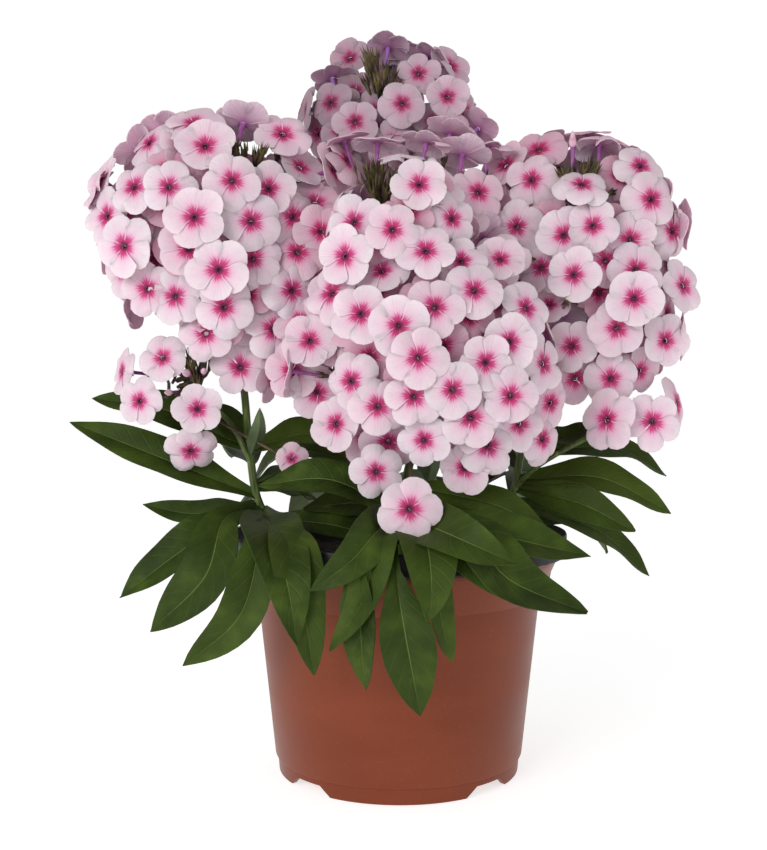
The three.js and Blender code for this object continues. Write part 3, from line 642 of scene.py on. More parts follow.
def stem_skin():
    """Green stem: smooth and slightly waxy, with pale streaks and a purple flush here and there."""
    material, tree = finish_named("phlox_stem", Roughness=0.5, Specular_IOR_Level=0.3)
    where = add(tree, "TexCoord").outputs["Object"]
    long_way = add(tree, "Mapping", [("Vector", where), ("Scale", (1.0, 1.0, 0.12))])
    streak = add(tree, "TexNoise", [("Vector", long_way), ("Scale", 420.0), ("Detail", 2.0)])
    green = add(tree, "ValToRGB", [("Fac", streak)],
                [(0.3, "#36451C"), (0.75, "#6F8042"), (0.55, "#4F612C")])
    patch = add(tree, "TexNoise", [("Vector", where), ("Scale", 40.0)])
    flush = add(tree, "ValToRGB", [("Fac", patch)], [(0.55, 0.0), (0.75, 0.5)])
    colour = add(tree, "Mix", [("Factor", flush), ("A", green), ("B", "#5B3A3A")],
                 data_type="RGBA")
    bump = add(tree, "Bump", [("Height", streak), ("Strength", 0.3), ("Distance", 0.0005)])
    return coated(material, Base_Color=colour, Normal=bump)


def bud_skin():
    """Rolled bud: pale pink petals twisted to a point, with darker turns."""
    material, tree = finish_named("phlox_bud", Roughness=0.55,
                                  Subsurface_Weight=0.1, Subsurface_Scale=0.002)
    where = add(tree, "TexCoord").outputs["Object"]
    turns = add(tree, "TexNoise", [("Vector", where), ("Scale", 260.0), ("Detail", 2.0)])
    colour = add(tree, "ValToRGB", [("Fac", turns)], [(0.3, "#C98DA6"), (0.6, "#DDBECB")])
    return coated(material, Base_Color=colour)


def leaf_skin(name, dark, mid, light, rib_shade, roughness):
    """Living leaf: satin, with a sunken pale midrib and side veins about 6 mm apart."""
    material, tree = finish_named(name, Roughness=roughness, Specular_IOR_Level=0.1)
    place = add(tree, "SeparateXYZ", [("Vector", add(tree, "UVMap", uv_map="UVMap"))])
    along = place.outputs["Y"]
    side = from_midrib(tree, place)
    where = add(tree, "TexCoord").outputs["Object"]
    cloud = add(tree, "TexNoise", [("Vector", where), ("Scale", 60.0), ("Detail", 4.0)])
    green = add(tree, "ValToRGB", [("Fac", cloud)], [(0.3, dark), (0.75, light), (0.52, mid)])
    tint = add(tree, "Attribute", attribute_name="tint")
    lean = add(tree, "Math", [(0, tint.outputs["Fac"]), (1, 0.6)], operation="MULTIPLY")
    green = add(tree, "Mix", [("Factor", lean), ("A", green), ("B", light)], data_type="RGBA")
    rib = add(tree, "ValToRGB", [("Fac", side)],
              [(0.0, 1.0), (1.0, 0.0), (0.03, 0.85), (0.07, 0.0)])
    rib_end = add(tree, "ValToRGB", [("Fac", along)], [(0.0, 0.9), (1.0, 0.15), (0.7, 0.6)])
    rib = add(tree, "Math", [(0, rib), (1, rib_end)], operation="MULTIPLY")
    # side veins leave the midrib forwards and arch towards the tip
    arch = add(tree, "Math", [(0, side), (1, 1.5)], operation="POWER")
    row = add(tree, "Math", [(0, arch), (1, -0.13), (2, along)], operation="MULTIPLY_ADD")
    row = add(tree, "Math", [(0, cloud), (1, 0.05), (2, row)], operation="MULTIPLY_ADD")
    swing = add(tree, "Math", [(0, row), (1, 40.0)], operation="MULTIPLY")
    swing = add(tree, "Math", [(0, swing)], operation="SINE")
    swing = add(tree, "Math", [(0, swing)], operation="ABSOLUTE")
    vein = add(tree, "ValToRGB", [("Fac", swing)],
               [(0.0, 1.0), (1.0, 0.0), (0.12, 0.5), (0.34, 0.0)])
    faint = add(tree, "Math", [(0, vein), (1, 0.06)], operation="MULTIPLY")
    colour = add(tree, "Mix", [("Factor", faint), ("A", green), ("B", rib_shade)],
                 data_type="RGBA")
    colour = add(tree, "Mix", [("Factor", rib), ("A", colour), ("B", rib_shade)],
                 data_type="RGBA")
    # blades swell between their veins; the grain is fine enough to break the sheen
    grain = add(tree, "TexNoise", [("Vector", where), ("Scale", 700.0)])
    hollow = add(tree, "Math", [(0, rib), (1, 0.8)], operation="MULTIPLY")
    hollow = add(tree, "Math", [(0, vein), (1, 0.25), (2, hollow)], operation="MULTIPLY_ADD")
    height = add(tree, "Math", [(0, grain), (1, 0.15)], operation="MULTIPLY")
    height = add(tree, "Math", [(0, height), (1, hollow)], operation="SUBTRACT")
    bump = add(tree, "Bump", [("Height", height), ("Strength", 0.6), ("Distance", 0.0009)])
    return coated(material, Base_Color=colour, Normal=bump)


def terracotta_plastic():
    """Injection-moulded polypropylene in a terracotta shade: satin, soft highlights, faint
    flow marks round the wall and a little dust."""
    material, tree = finish_named("polypropylene_terracotta", IOR=1.49,
                                  Specular_IOR_Level=0.2, Coat_Weight=0.04,
                                  Coat_Roughness=0.25)
    where = add(tree, "TexCoord").outputs["Object"]
    turned_way = add(tree, "Mapping", [("Vector", where), ("Scale", (1.0, 1.0, 3.0))])
    flow = add(tree, "TexNoise", [("Vector", turned_way), ("Scale", 14.0), ("Detail", 2.0)])
    shade = add(tree, "ValToRGB", [("Fac", flow)],
                [(0.3, "#71321A"), (0.72, "#7A381F"), (0.5, "#75351C")])
    dust = add(tree, "TexNoise", [("Vector", where), ("Scale", 620.0), ("Detail", 2.0)])
    specks = add(tree, "ValToRGB", [("Fac", dust)], [(0.6, 0.0), (0.78, 0.2)])
    colour = add(tree, "Mix", [("Factor", specks), ("A", shade), ("B", "#96593F")],
                 data_type="RGBA")
    rough = add(tree, "ValToRGB", [("Fac", flow)], [(0.3, 0.36), (0.7, 0.46)])
    bump = add(tree, "Bump", [("Height", dust), ("Strength", 0.12), ("Distance", 0.0002)])
    return coated(material, Base_Color=colour, Roughness=rough, Normal=bump)


def black_plastic():
    """Thermoformed black polystyrene: dark grey-black satin with scuffs that catch the light."""
    material, tree = finish_named("polystyrene_black", IOR=1.59,
                                  Specular_IOR_Level=0.15)
    where = add(tree, "TexCoord").outputs["Object"]
    scuff = add(tree, "TexNoise", [("Vector", where), ("Scale", 180.0), ("Detail", 4.0)])
    colour = add(tree, "ValToRGB", [("Fac", scuff)], [(0.4, "#0B0B0C"), (0.7, "#18181A")])
    rough = add(tree, "ValToRGB", [("Fac", scuff)], [(0.4, 0.34), (0.7, 0.55)])
    bump = add(tree, "Bump", [("Height", scuff), ("Strength", 0.2), ("Distance", 0.0003)])
    return coated(material, Base_Color=colour, Roughness=rough, Normal=bump)


def potting_soil():
    """Peat-based potting soil: very dark brown, crumbly, quite matt."""
    material, tree = finish_named("peat_soil", Roughness=0.95, Specular_IOR_Level=0.2)
    where = add(tree, "TexCoord").outputs["Object"]
    crumb = add(tree, "TexVoronoi", [("Vector", where), ("Scale", 380.0)])
    lump = add(tree, "TexNoise", [("Vector", where), ("Scale", 120.0), ("Detail", 5.0)])
    colour = add(tree, "ValToRGB", [("Fac", lump)],
                 [(0.3, "#171312"), (0.75, "#4A3B32"), (0.55, "#2E2523")])
    height = add(tree, "Math", [(0, crumb), (1, -0.6), (2, lump)], operation="MULTIPLY_ADD")
    bump = add(tree, "Bump", [("Height", height), ("Strength", 0.9), ("Distance", 0.002)])
    return coated(material, Base_Color=colour, Normal=bump)


PETAL = [petal_face(), petal_back()]
TUBE, THROAT, ANTHER = tube_skin(), throat_skin(), anther_skin()
CALYX, STEM, BUD = calyx_skin(), stem_skin(), bud_skin()
LEAF = [leaf_skin("phlox_leaf_upper", "#1E2A0D", "#2E3E14", "#48591F", "#78884C", 0.5),
        leaf_skin("phlox_leaf_under", "#46523A", "#566448", "#6A7754", "#84906A", 0.6)]
TERRACOTTA, BLACK, SOIL = terracotta_plastic(), black_plastic(), potting_soil()


# ------------------------------------------------------------------ modelling, in mm
def fresh(name, *materials):
    """Takes the primitive just added, names it and gives it its materials."""
    piece = bpy.context.object
    piece.name = piece.data.name = name
    for material in materials:
        piece.data.materials.append(material)
    return piece


def clear():
    """Leaves edit mode and deselects everything."""
    if bpy.context.object and bpy.context.object.mode == "EDIT":
        bpy.ops.object.mode_set(mode="OBJECT")
    bpy.ops.object.select_all(action="DESELECT")


def only(piece):
    """Selects this piece alone."""
    clear()
    piece.select_set(True)
    bpy.context.view_layer.objects.active = piece


def modified(piece, kind, **settings):
    """Gives the piece a modifier with these settings and applies it."""
    only(piece)
    modifier = piece.modifiers.new(kind.lower(), kind)
    for name, value in settings.items():
        setattr(modifier, name, value)
    bpy.ops.object.modifier_apply(modifier=modifier.name)


def settled(piece):
    """Puts the object's own place into its mesh."""
    only(piece)
    bpy.ops.object.transform_apply(location=True, rotation=True, scale=True)


def merged(pieces, name):
    """Joins the pieces into one."""
    clear()
    for piece in pieces:
        piece.select_set(True)
    bpy.context.view_layer.objects.active = pieces[0]
    bpy.ops.object.join()
    piece = bpy.context.object
    piece.name = piece.data.name = name
    return piece


def copied(piece, matrix, tint):
    """A copy with a mesh of its own, put in its place and given its tint."""
    twin = piece.copy()
    twin.data = piece.data.copy()
    bpy.context.scene.collection.objects.link(twin)
    twin.data.transform(matrix)
    tinted(twin, tint)
    return twin


def tinted(piece, tint):
    """Says how far this piece leans to the last of its material's shades."""
    data = piece.data.attributes.get("tint") or piece.data.attributes.new("tint", "FLOAT",
                                                                         "POINT")
    data.data.foreach_set("value", [tint] * len(piece.data.vertices))


def smooth(piece, degrees=40):
    """Smooth shading, but sharp where faces meet at more than these degrees."""
    only(piece)
    bpy.ops.object.shade_smooth_by_angle(angle=math.radians(degrees))


def shown(piece, slot, *nodes):
    """Moves a finished piece into the frame, in metres, hangs it from the root and hides the solids
    it stands for; the slot is not used.
    """
    piece.data.transform(TO_FRAME)
    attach(piece, "root")
    if nodes:
        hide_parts(*nodes)
    return piece


def turned(name, material, profile):
    """A body turned from its profile of (radius, height): one ring, extruded to each next corner
    and sized to it. Both ends are closed flat."""
    clear()
    bpy.ops.mesh.primitive_circle_add(vertices=ROUND, radius=profile[0][0], fill_type="NOTHING",
                                      location=(0, 0, profile[0][1]))
    piece = fresh(name, material)
    settled(piece)
    bpy.ops.object.mode_set(mode="EDIT")
    bpy.ops.mesh.select_mode(type="EDGE")
    bpy.ops.mesh.select_all(action="SELECT")
    for (r0, z0), (r1, z1) in zip(profile, profile[1:]):
        bpy.ops.mesh.extrude_region_move(TRANSFORM_OT_translate={"value": (0, 0, z1 - z0)})
        bpy.ops.transform.resize(value=(r1 / r0, r1 / r0, 1), center_override=(0, 0, z1))
    bpy.ops.mesh.edge_face_add()
    bpy.ops.mesh.select_all(action="DESELECT")
    bpy.ops.object.mode_set(mode="OBJECT")
    # the ring it started with
    for edge in piece.data.edges:
        edge.select = max(edge.vertices) < ROUND
    bpy.ops.object.mode_set(mode="EDIT")
    bpy.ops.mesh.edge_face_add()
    bpy.ops.mesh.select_all(action="SELECT")
    bpy.ops.mesh.normals_make_consistent(inside=False)
    bpy.ops.object.mode_set(mode="OBJECT")
    return piece


def carved(piece, cutters):
    """Cuts the cutters out of the piece and takes them away."""
    for cutter in cutters:
        modified(piece, "BOOLEAN", operation="DIFFERENCE", solver="EXACT", object=cutter)
        bpy.data.objects.remove(cutter)


def end_picked(piece, way):
    """Opens the mesh for editing with only its end picked: the top (way 1) or the bottom (-1)."""
    bpy.ops.object.mode_set(mode="EDIT")
    bpy.ops.mesh.select_mode(type="FACE")
    bpy.ops.mesh.select_all(action="DESELECT")
    bpy.ops.object.mode_set(mode="OBJECT")
    for face in piece.data.polygons:
        face.select = way * face.normal.z > 0.5
    bpy.ops.object.mode_set(mode="EDIT")


# ------------------------------------------------------------------ pots and soil
FOOT_R = 64.6                            # outside of the cover pot's foot ring
NOTCHES = 4                              # in that ring
NOTCH_WIDE, NOTCH_NARROW = 32, 17        # at the ground and at their tops
NOTCH_LOW, NOTCH_HIGH = -1, 5            # the cutter starts under the ground
NOTCH_THROUGH = 16
DRAINS = 4                               # drainage holes in each pot's floor
DRAIN_R, DRAIN_RING_R = 4, 38
SOIL_R, SOIL_FOOT_R = 77.6, 60.6         # of the fill at its top and at its bottom
SOIL_LOW, SOIL_HIGH = 15, 113
SOIL_RINGS, SOIL_RING, SOIL_RISE = 20, 3.6, 0.12    # rings of its top, each one's width and rise
CRUMB = 1.3                              # how far its crumbs stand out or in


def foot_notch(turn):
    """A wedge, wider at the ground, that cuts one water notch into the foot ring."""
    clear()
    bpy.ops.mesh.primitive_cube_add(size=1, location=(0, FOOT_R, (NOTCH_LOW + NOTCH_HIGH) / 2),
                                    scale=(NOTCH_WIDE, NOTCH_THROUGH, NOTCH_HIGH - NOTCH_LOW))
    cutter = fresh("notch")
    settled(cutter)
    end_picked(cutter, 1)
    bpy.ops.transform.resize(value=(NOTCH_NARROW / NOTCH_WIDE, 1, 1),
                             center_override=(0, FOOT_R, NOTCH_HIGH))
    bpy.ops.object.mode_set(mode="OBJECT")
    cutter.data.transform(Matrix.Rotation(turn, 4, "Z"))
    return cutter


def drain(turn, low, high):
    """A cutter for one drainage hole, between two heights."""
    clear()
    bpy.ops.mesh.primitive_cylinder_add(
        vertices=24, radius=DRAIN_R, depth=high - low,
        location=(DRAIN_RING_R * math.cos(turn), DRAIN_RING_R * math.sin(turn), (low + high) / 2))
    cutter = fresh("drain")
    settled(cutter)
    return cutter


def cover_pot():
    """The wall, its flared collar over a step, a rolled rim, and the foot ring with notches."""
    pot = turned("cover_pot_shell", TERRACOTTA, [
        (62.4, 8.2), (61.8, 0), (64.6, 0), (65.2, 7.7), (66.2, 8.3), (66.6, 9.2),
        (71.2, 52), (75.8, 94.6), (76.5, 94.9), (76.8, 95.6), (84.3, 112.6), (84.8, 113.6),
        (85, 115.2), (84.5, 116), (83.8, 116), (83.2, 115.2), (82.9, 113), (74.6, 95.8),
        (64.8, 10.2),
    ])
    carved(pot, [foot_notch(TURN * (i + 0.5) / NOTCHES) for i in range(NOTCHES)]
           + [drain(TURN * i / DRAINS, 0, 12) for i in range(DRAINS)])
    smooth(pot, 35)
    return shown(pot, "terracotta_plastic", "cover_pot")


def grow_pot():
    """The black pot inside, whose collar stands on the cover pot's rim."""
    pot = turned("grow_pot_shell", BLACK, [
        (62.6, 10.5), (73.4, 96), (81.4, 116.3), (89.4, 116.3), (90, 116.9), (90, 126.6),
        (89.7, 127.3), (89.2, 127.5), (88.6, 127.1), (88.2, 118.6), (87.6, 117.8), (80.4, 117.8),
        (71.9, 97), (61.2, 12),
    ])
    carved(pot, [drain(TURN * i / DRAINS, 9, 14) for i in range(DRAINS)])
    smooth(pot, 35)
    return shown(pot, "black_plastic", "grow_pot")


def soil():
    """A crumbly fill: a drum whose top is inset ring by ring and then roughened."""
    clear()
    bpy.ops.mesh.primitive_cylinder_add(vertices=72, radius=SOIL_R, depth=SOIL_HIGH - SOIL_LOW,
                                        location=(0, 0, (SOIL_LOW + SOIL_HIGH) / 2))
    fill = fresh("soil_fill", SOIL)
    settled(fill)
    end_picked(fill, 1)
    for _ in range(SOIL_RINGS):
        bpy.ops.mesh.inset(thickness=SOIL_RING, depth=SOIL_RISE)
    bpy.ops.mesh.select_all(action="DESELECT")
    bpy.ops.object.mode_set(mode="OBJECT")
    for vertex in fill.data.vertices:
        vertex.select = vertex.co.z > SOIL_HIGH - 0.1
    bpy.ops.object.mode_set(mode="EDIT")
    bpy.ops.mesh.select_mode(type="VERT")
    bpy.ops.transform.vertex_random(offset=CRUMB, uniform=0.6, normal=0.2, seed=7)
    bpy.ops.mesh.select_all(action="DESELECT")
    bpy.ops.object.mode_set(mode="OBJECT")
    for vertex in fill.data.vertices:
        if vertex.co.z < SOIL_LOW + 1:
            vertex.co.x *= SOIL_FOOT_R / SOIL_R
            vertex.co.y *= SOIL_FOOT_R / SOIL_R
    smooth(fill, 60)
    return shown(fill, "soil", "soil")


# ------------------------------------------------------------------ curves through points
def ramp(value, start, end):
    """0 up to the start, 1 from the end on, and straight between them."""
    return min(1, max(0, (value - start) / (end - start)))


def eased(table, t):
    """The value at t of a smooth line through the table's (t, value) points: a cubic from each to
    the next, whose slope at a point is that from its neighbour before to the one after."""
    spans = list(zip(table, table[1:]))
    k = next((i for i, (_, b) in enumerate(spans) if t <= b[0]), len(spans) - 1)
    (t0, v0), (t1, v1) = spans[k]

    def slope(i):
        low, high = table[max(0, i - 1)], table[min(len(table) - 1, i + 1)]
        return (high[1] - low[1]) / (high[0] - low[0])

    s = (t - t0) / (t1 - t0)
    a, b = slope(k) * (t1 - t0), slope(k + 1) * (t1 - t0)
    return ((2 * s ** 3 - 3 * s ** 2 + 1) * v0 + (s ** 3 - 2 * s ** 2 + s) * a
            + (3 * s ** 2 - 2 * s ** 3) * v1 + (s ** 3 - s ** 2) * b)


def through(route, each=6):
    """Points of the smooth line through the route: so many from each of its corners to the next."""
    points = [Vector(p) for p in route]
    line = []
    for i, (low, high) in enumerate(zip(points, points[1:])):
        before = points[i - 1] if i else 2 * low - high
        after = points[i + 2] if i + 2 < len(points) else 2 * high - low
        for j in range(each):
            s = j / each
            line.append(0.5 * (2 * low + (high - before) * s
                               + (2 * before - 5 * low + 4 * high - after) * s * s
                               + (3 * low - before - 3 * high + after) * s ** 3))
    return line + [points[-1]]


def stalk(name, material, line, radii, sides):
    """A round stalk along a line: a bevelled curve, between its two radii, made into a mesh."""
    curve = bpy.data.curves.new(name, "CURVE")
    curve.dimensions = "3D"
    curve.bevel_depth = 1.0
    curve.bevel_resolution = sides // 2 - 2
    curve.use_fill_caps = True
    spline = curve.splines.new("POLY")
    spline.points.add(len(line) - 1)
    for k, (point, place) in enumerate(zip(spline.points, line)):
        point.co = (*place, 1)
        point.radius = radii[0] + (radii[1] - radii[0]) * k / (len(line) - 1)
    piece = bpy.data.objects.new(name, curve)
    bpy.context.scene.collection.objects.link(piece)
    only(piece)
    bpy.ops.object.convert(target="MESH")
    piece = bpy.context.object
    piece.data.materials.clear()
    piece.data.materials.append(material)
    tinted(piece, 0.5)
    return piece


# ------------------------------------------------------------------ leaves and stems
# half width of a blade from its base to its tip, per the widest
LEAF_SHAPE = [(0, 0.16), (0.16, 0.52), (0.38, 0.95), (0.5, 1), (0.62, 0.95), (0.84, 0.58),
              (0.95, 0.24), (1, 0.02)]
LEAF_THICK = 0.5
LEAF_FOLD = (0.24, 0.36)                 # least and most rise of its edges, per the half width
GROOVE_DEEP, GROOVE_HALF = 0.5, 0.1      # the midrib's groove, its half width per the blade's
WAVE, WAVES = 0.035, 2.6                 # the edges' waves: height per the width, and how many
STEM_RADII = (2.5, 1.9)                  # at the foot and at the end
BRANCH_RADII = (1.7, 1.3)


def measured(line):
    """A function of the share of a line's length: the place there and the way it runs."""
    lengths = [0.0]
    for low, high in zip(line, line[1:]):
        lengths.append(lengths[-1] + (high - low).length)

    def at(share):
        goal = share * lengths[-1]
        k = next((i for i, end in enumerate(lengths[1:]) if end >= goal), len(line) - 2)
        low, high = line[k], line[k + 1]
        part = (goal - lengths[k]) / (lengths[k + 1] - lengths[k])
        before, after = line[max(0, k - 2)], line[min(len(line) - 1, k + 3)]
        return low.lerp(high, part), (after - before).normalized()
    return at


def leaf(base, points, width, roll, bare, draw):
    """A lance-shaped blade. A flat grid is laid along the midrib, narrowed to the leaf's outline
    and folded up from the midrib, which lies in a narrow groove; then it gets its thickness."""
    clear()
    bpy.ops.mesh.primitive_grid_add(x_subdivisions=10, y_subdivisions=22, size=2)
    blade = fresh("leaf", *LEAF)
    midrib = measured(through([base, *points], 16))
    tip = Vector(points[-1])
    out = Vector((tip.x - base.x, tip.y - base.y, 0)).normalized()
    flat = out.cross(UP)
    phase = TURN * next(draw)
    lift = LEAF_FOLD[0] + (LEAF_FOLD[1] - LEAF_FOLD[0]) * next(draw)
    for vertex in blade.data.vertices:
        u, t = vertex.co.x, (vertex.co.y + 1) / 2
        # columns crowd to the midrib and rows, a little, to the tip
        u = math.copysign(abs(u) ** 1.5, u)
        t = t ** 0.92
        rib, along = midrib(t)
        # across the blade: level, and then turned about the midrib by the roll
        level = (flat - flat.dot(along) * along).normalized()
        side = Matrix.Rotation(roll, 3, along) @ level
        over = side.cross(along)
        half = eased(LEAF_SHAPE, ramp(t, bare, 1)) * width / 2
        fold = lift * half * (1.3 * abs(u) - 0.3 * u * u)
        groove = GROOVE_DEEP * max(0, 1 - abs(u) / GROOVE_HALF) * (1 - t)
        wave = WAVE * width * math.sin(TURN * WAVES * t + phase + (2 if u > 0 else 0)) * u * u
        vertex.co = rib + half * u * side + (fold - groove + wave) * over
    tinted(blade, next(draw))
    modified(blade, "SOLIDIFY", thickness=LEAF_THICK, offset=-1, material_offset=1,
             material_offset_rim=0)
    smooth(blade, 60)
    return blade


def on_route(route, height):
    """The place on a stem at this height."""
    above = next(i for i, p in enumerate(route) if p[2] > height)
    low, high = Vector(route[above - 1]), Vector(route[above])
    return low.lerp(high, (height - low.z) / (high.z - low.z))


def leafy_stem(stem, seed):
    """A stem with its branches and leaves."""
    draw = draws(seed)
    parts = [stalk("stem", STEM, through(stem["route"]), STEM_RADII, 8)]
    parts += [stalk("branch", STEM, through(b), BRANCH_RADII, 6) for b in stem["branches"]]
    for part in parts:
        smooth(part)
    for height, points, width, roll, bare in stem["leaves"]:
        parts.append(leaf(on_route(stem["route"], height), points, width, math.radians(roll),
                          bare, draw))
    name = stem["name"]
    return shown(merged(parts, f"foliage_{name}"), "foliage", f"leafy_stem_{name}")


# ------------------------------------------------------------------ a floret, modelled once
# half: half of a petal's angle at its broadest, in degrees; round: how much its outer edge draws in
# towards its sides; bend: how far it rises or, below 0, hangs; curl: how far its edge turns down;
# wave: height of its ripple; tilt: how steeply it slopes over to the next petal; anthers: how many
FORMS = [
    {"half": 44, "round": 0.24, "bend": -1.0, "curl": 1.0, "wave": 1.0, "tilt": 0.07, "anthers": 2},
    {"half": 42, "round": 0.30, "bend": -0.2, "curl": 1.4, "wave": 1.0, "tilt": 0.08, "anthers": 1},
    {"half": 46, "round": 0.20, "bend": -1.8, "curl": 0.8, "wave": 0.9, "tilt": 0.07, "anthers": 3},
    {"half": 41, "round": 0.34, "bend": -0.8, "curl": 1.2, "wave": 1.0, "tilt": 0.08, "anthers": 2},
    {"half": 45, "round": 0.26, "bend": 1.2, "curl": 0.8, "wave": 1.0, "tilt": 0.08, "anthers": 0},
    {"half": 43, "round": 0.25, "bend": -2.6, "curl": 1.6, "wave": 1.0, "tilt": 0.07, "anthers": 1},
    {"half": 44, "round": 0.22, "bend": 2.2, "curl": 0.4, "wave": 1.0, "tilt": 0.07, "anthers": 2},
    {"half": 42, "round": 0.28, "bend": -1.4, "curl": 2.0, "wave": 1.0, "tilt": 0.09, "anthers": 1},
]
PETALS = 5
PETAL_THICK = 0.35
SLOT = 36                                # half of a petal's share of the turn, in degrees
# where along its reach, from 0 in the floret's middle to 1, a petal
MOUTH = 0.085                            # starts, at the throat
CLAW, WIDEST = 0.18, 0.6                 # begins to widen and is widest
DIP_END = 0.34                           # comes up out of the throat
TILT_FULL = 0.4                          # has its full slope over to the next
CURL_START = 0.62                        # begins to curl down
DIP = 1.5                                # how deep it starts
ARCH = 0.7                               # how far its long edges hang
RIPPLE = 3.4                             # its ripple's turn from midrib to edge, in radians
TUBE_R = 1.35
TUBE_STEPS = ((3.5, 0.76), (9.0, 0.86))  # (length, width of its end per its start)
TUBE_WALL = 0.35
THROAT_DEEP = 1.6
ANTHER_R, ANTHER_SIZE = 0.36, (0.8, 0.8, 1.5)
ANTHER_OFF, ANTHER_DEEP = 0.65, 1.5      # off the tube's middle at most, under the face at least
SLEEVE_LONG, SLEEVE_R, SLEEVE_FOOT_R = 5, 1.45, 0.8
TOOTH_LONG, TOOTH_R = 5.4, 0.62
TOOTH_RING_R, TOOTH_START = 1.15, 4.4    # where a tooth stands on the sleeve, and from what height
TOOTH_LEAN = 0.16                        # out from the tube, in radians
CALYX_LOW = -22                          # foot of the calyx, from the face of the floret
BUD_CALYX_LOW = -18
BUD_R = 1.7
BUD_SLIM, BUD_TWIST = 0.35, 0.5          # how much slimmer its point is; its turn per mm
BUD_LONG = (1.5, 1.4)                    # how long it is drawn, and how much more at the point
BUD_TUBE = (0.75, 0.75, 0.8)             # size of its tube, per a floret's
BUD_CALYX = (0.9, 0.9, 0.95)             # and of its calyx


def petal(form):
    """One petal along +X: a grid bent to a broad fan whose outer edge is rounded, sunk to the
    throat, arched across, and tilted so that each laps over the next."""
    clear()
    bpy.ops.mesh.primitive_grid_add(x_subdivisions=7, y_subdivisions=6, size=2)
    blade = fresh("petal", *PETAL)
    for vertex in blade.data.vertices:
        u, v = vertex.co.x, (vertex.co.y + 1) / 2
        s = MOUTH + (1 - MOUTH) * v
        widen = ramp(s, CLAW, WIDEST)
        turn = math.radians(SLOT + (form["half"] - SLOT) * widen * widen * (3 - 2 * widen)) * u
        reach = PETAL_R * s * (1 - form["round"] * abs(u) ** 2.3 * s ** 1.5)
        sunk = -DIP * (1 - ramp(s, 0, DIP_END)) ** 2
        bend = form["bend"] * s * s - form["curl"] * ramp(s, CURL_START, 1) ** 2
        ripple = form["wave"] * math.sin(RIPPLE * u + form["phase"]) * s * s
        arch = -ARCH * u * u * widen * s
        x, y = reach * math.cos(turn), -reach * math.sin(turn)
        tilt = form["tilt"] * y * ramp(s, 0, TILT_FULL)
        vertex.co = (x, y, sunk + bend + ripple + arch + tilt)
    modified(blade, "SOLIDIFY", thickness=PETAL_THICK, offset=-1, material_offset=1,
             material_offset_rim=0)
    smooth(blade, 60)
    return blade


def corolla_tube():
    """Narrow tube behind the petals: a short drum whose bottom is pulled down in steps, and whose
    top is inset and sunk into a throat."""
    clear()
    bpy.ops.mesh.primitive_cylinder_add(vertices=8, radius=TUBE_R, depth=2.4,
                                        location=(0, 0, -2.5))
    tube = fresh("tube", TUBE, THROAT)
    settled(tube)
    end_picked(tube, -1)
    for length, share in TUBE_STEPS:
        bpy.ops.mesh.extrude_region_move(TRANSFORM_OT_translate={"value": (0, 0, -length)})
        bpy.ops.transform.resize(value=(share, share, 1), center_override=(0, 0, 0))
    end_picked(tube, 1)
    tube.active_material_index = 1
    bpy.ops.object.material_slot_assign()
    bpy.ops.mesh.inset(thickness=TUBE_WALL)
    bpy.ops.mesh.extrude_region_move(TRANSFORM_OT_translate={"value": (0, 0, -THROAT_DEEP)})
    bpy.ops.object.mode_set(mode="OBJECT")
    smooth(tube)
    return tube


def calyx(low):
    """Sleeve round the tube's lower end, with narrow teeth, one to a petal, that stand off it."""
    clear()
    bpy.ops.mesh.primitive_cone_add(vertices=7, radius1=SLEEVE_FOOT_R, radius2=SLEEVE_R,
                                    depth=SLEEVE_LONG, location=(0, 0, low + SLEEVE_LONG / 2))
    parts = [fresh("sleeve", CALYX)]
    settled(parts[0])
    for k in range(PETALS):
        clear()
        bpy.ops.mesh.primitive_cone_add(vertices=4, radius1=TOOTH_R, radius2=0, depth=TOOTH_LONG,
                                        location=(0, 0, TOOTH_LONG / 2))
        tooth = fresh("tooth", CALYX)
        settled(tooth)
        tooth.data.transform(Matrix.Rotation(TURN * k / PETALS, 4, "Z")
                             @ Matrix.Translation((TOOTH_RING_R, 0, low + TOOTH_START))
                             @ Matrix.Rotation(TOOTH_LEAN, 4, "Y"))
        parts.append(tooth)
    return merged(parts, "calyx")


def anthers(count, seed):
    """Anthers just inside the throat: small balls, made long."""
    draw = draws(seed)
    grains = []
    for _ in range(count):
        clear()
        bpy.ops.mesh.primitive_ico_sphere_add(subdivisions=1, radius=ANTHER_R)
        grain = fresh("anther", ANTHER)
        turn, reach = TURN * next(draw), ANTHER_OFF * next(draw)
        grain.data.transform(
            Matrix.Translation((reach * math.cos(turn), reach * math.sin(turn),
                                -ANTHER_DEEP - 0.5 * next(draw)))
            @ Matrix.Diagonal((*ANTHER_SIZE, 1)))
        grains.append(grain)
    return grains


def modelled_floret(form, seed):
    """Petals of one form, each a little its own, on a tube with its anthers and calyx."""
    draw = draws(seed)
    parts = []
    for k in range(PETALS):
        # they bend by up to 1.2 mm and open by up to 2 degrees more or less, and curl up to twice
        shape = dict(form, phase=TURN * next(draw), bend=form["bend"] + 2.4 * next(draw) - 1.2,
                     half=form["half"] + 4 * next(draw) - 2, curl=form["curl"] * 2 * next(draw))
        blade = petal(shape)
        size = 0.93 + 0.12 * next(draw)
        sway = 0.12 * (next(draw) - 0.5)
        blade.data.transform(Matrix.Rotation(TURN * (k + 0.5) / PETALS + sway, 4, "Z")
                             @ Matrix.Diagonal((size, 1, 1, 1)))
        parts.append(blade)
    parts += [corolla_tube(), calyx(CALYX_LOW)] + anthers(form["anthers"], seed)
    return merged(parts, f"floret_{seed}")


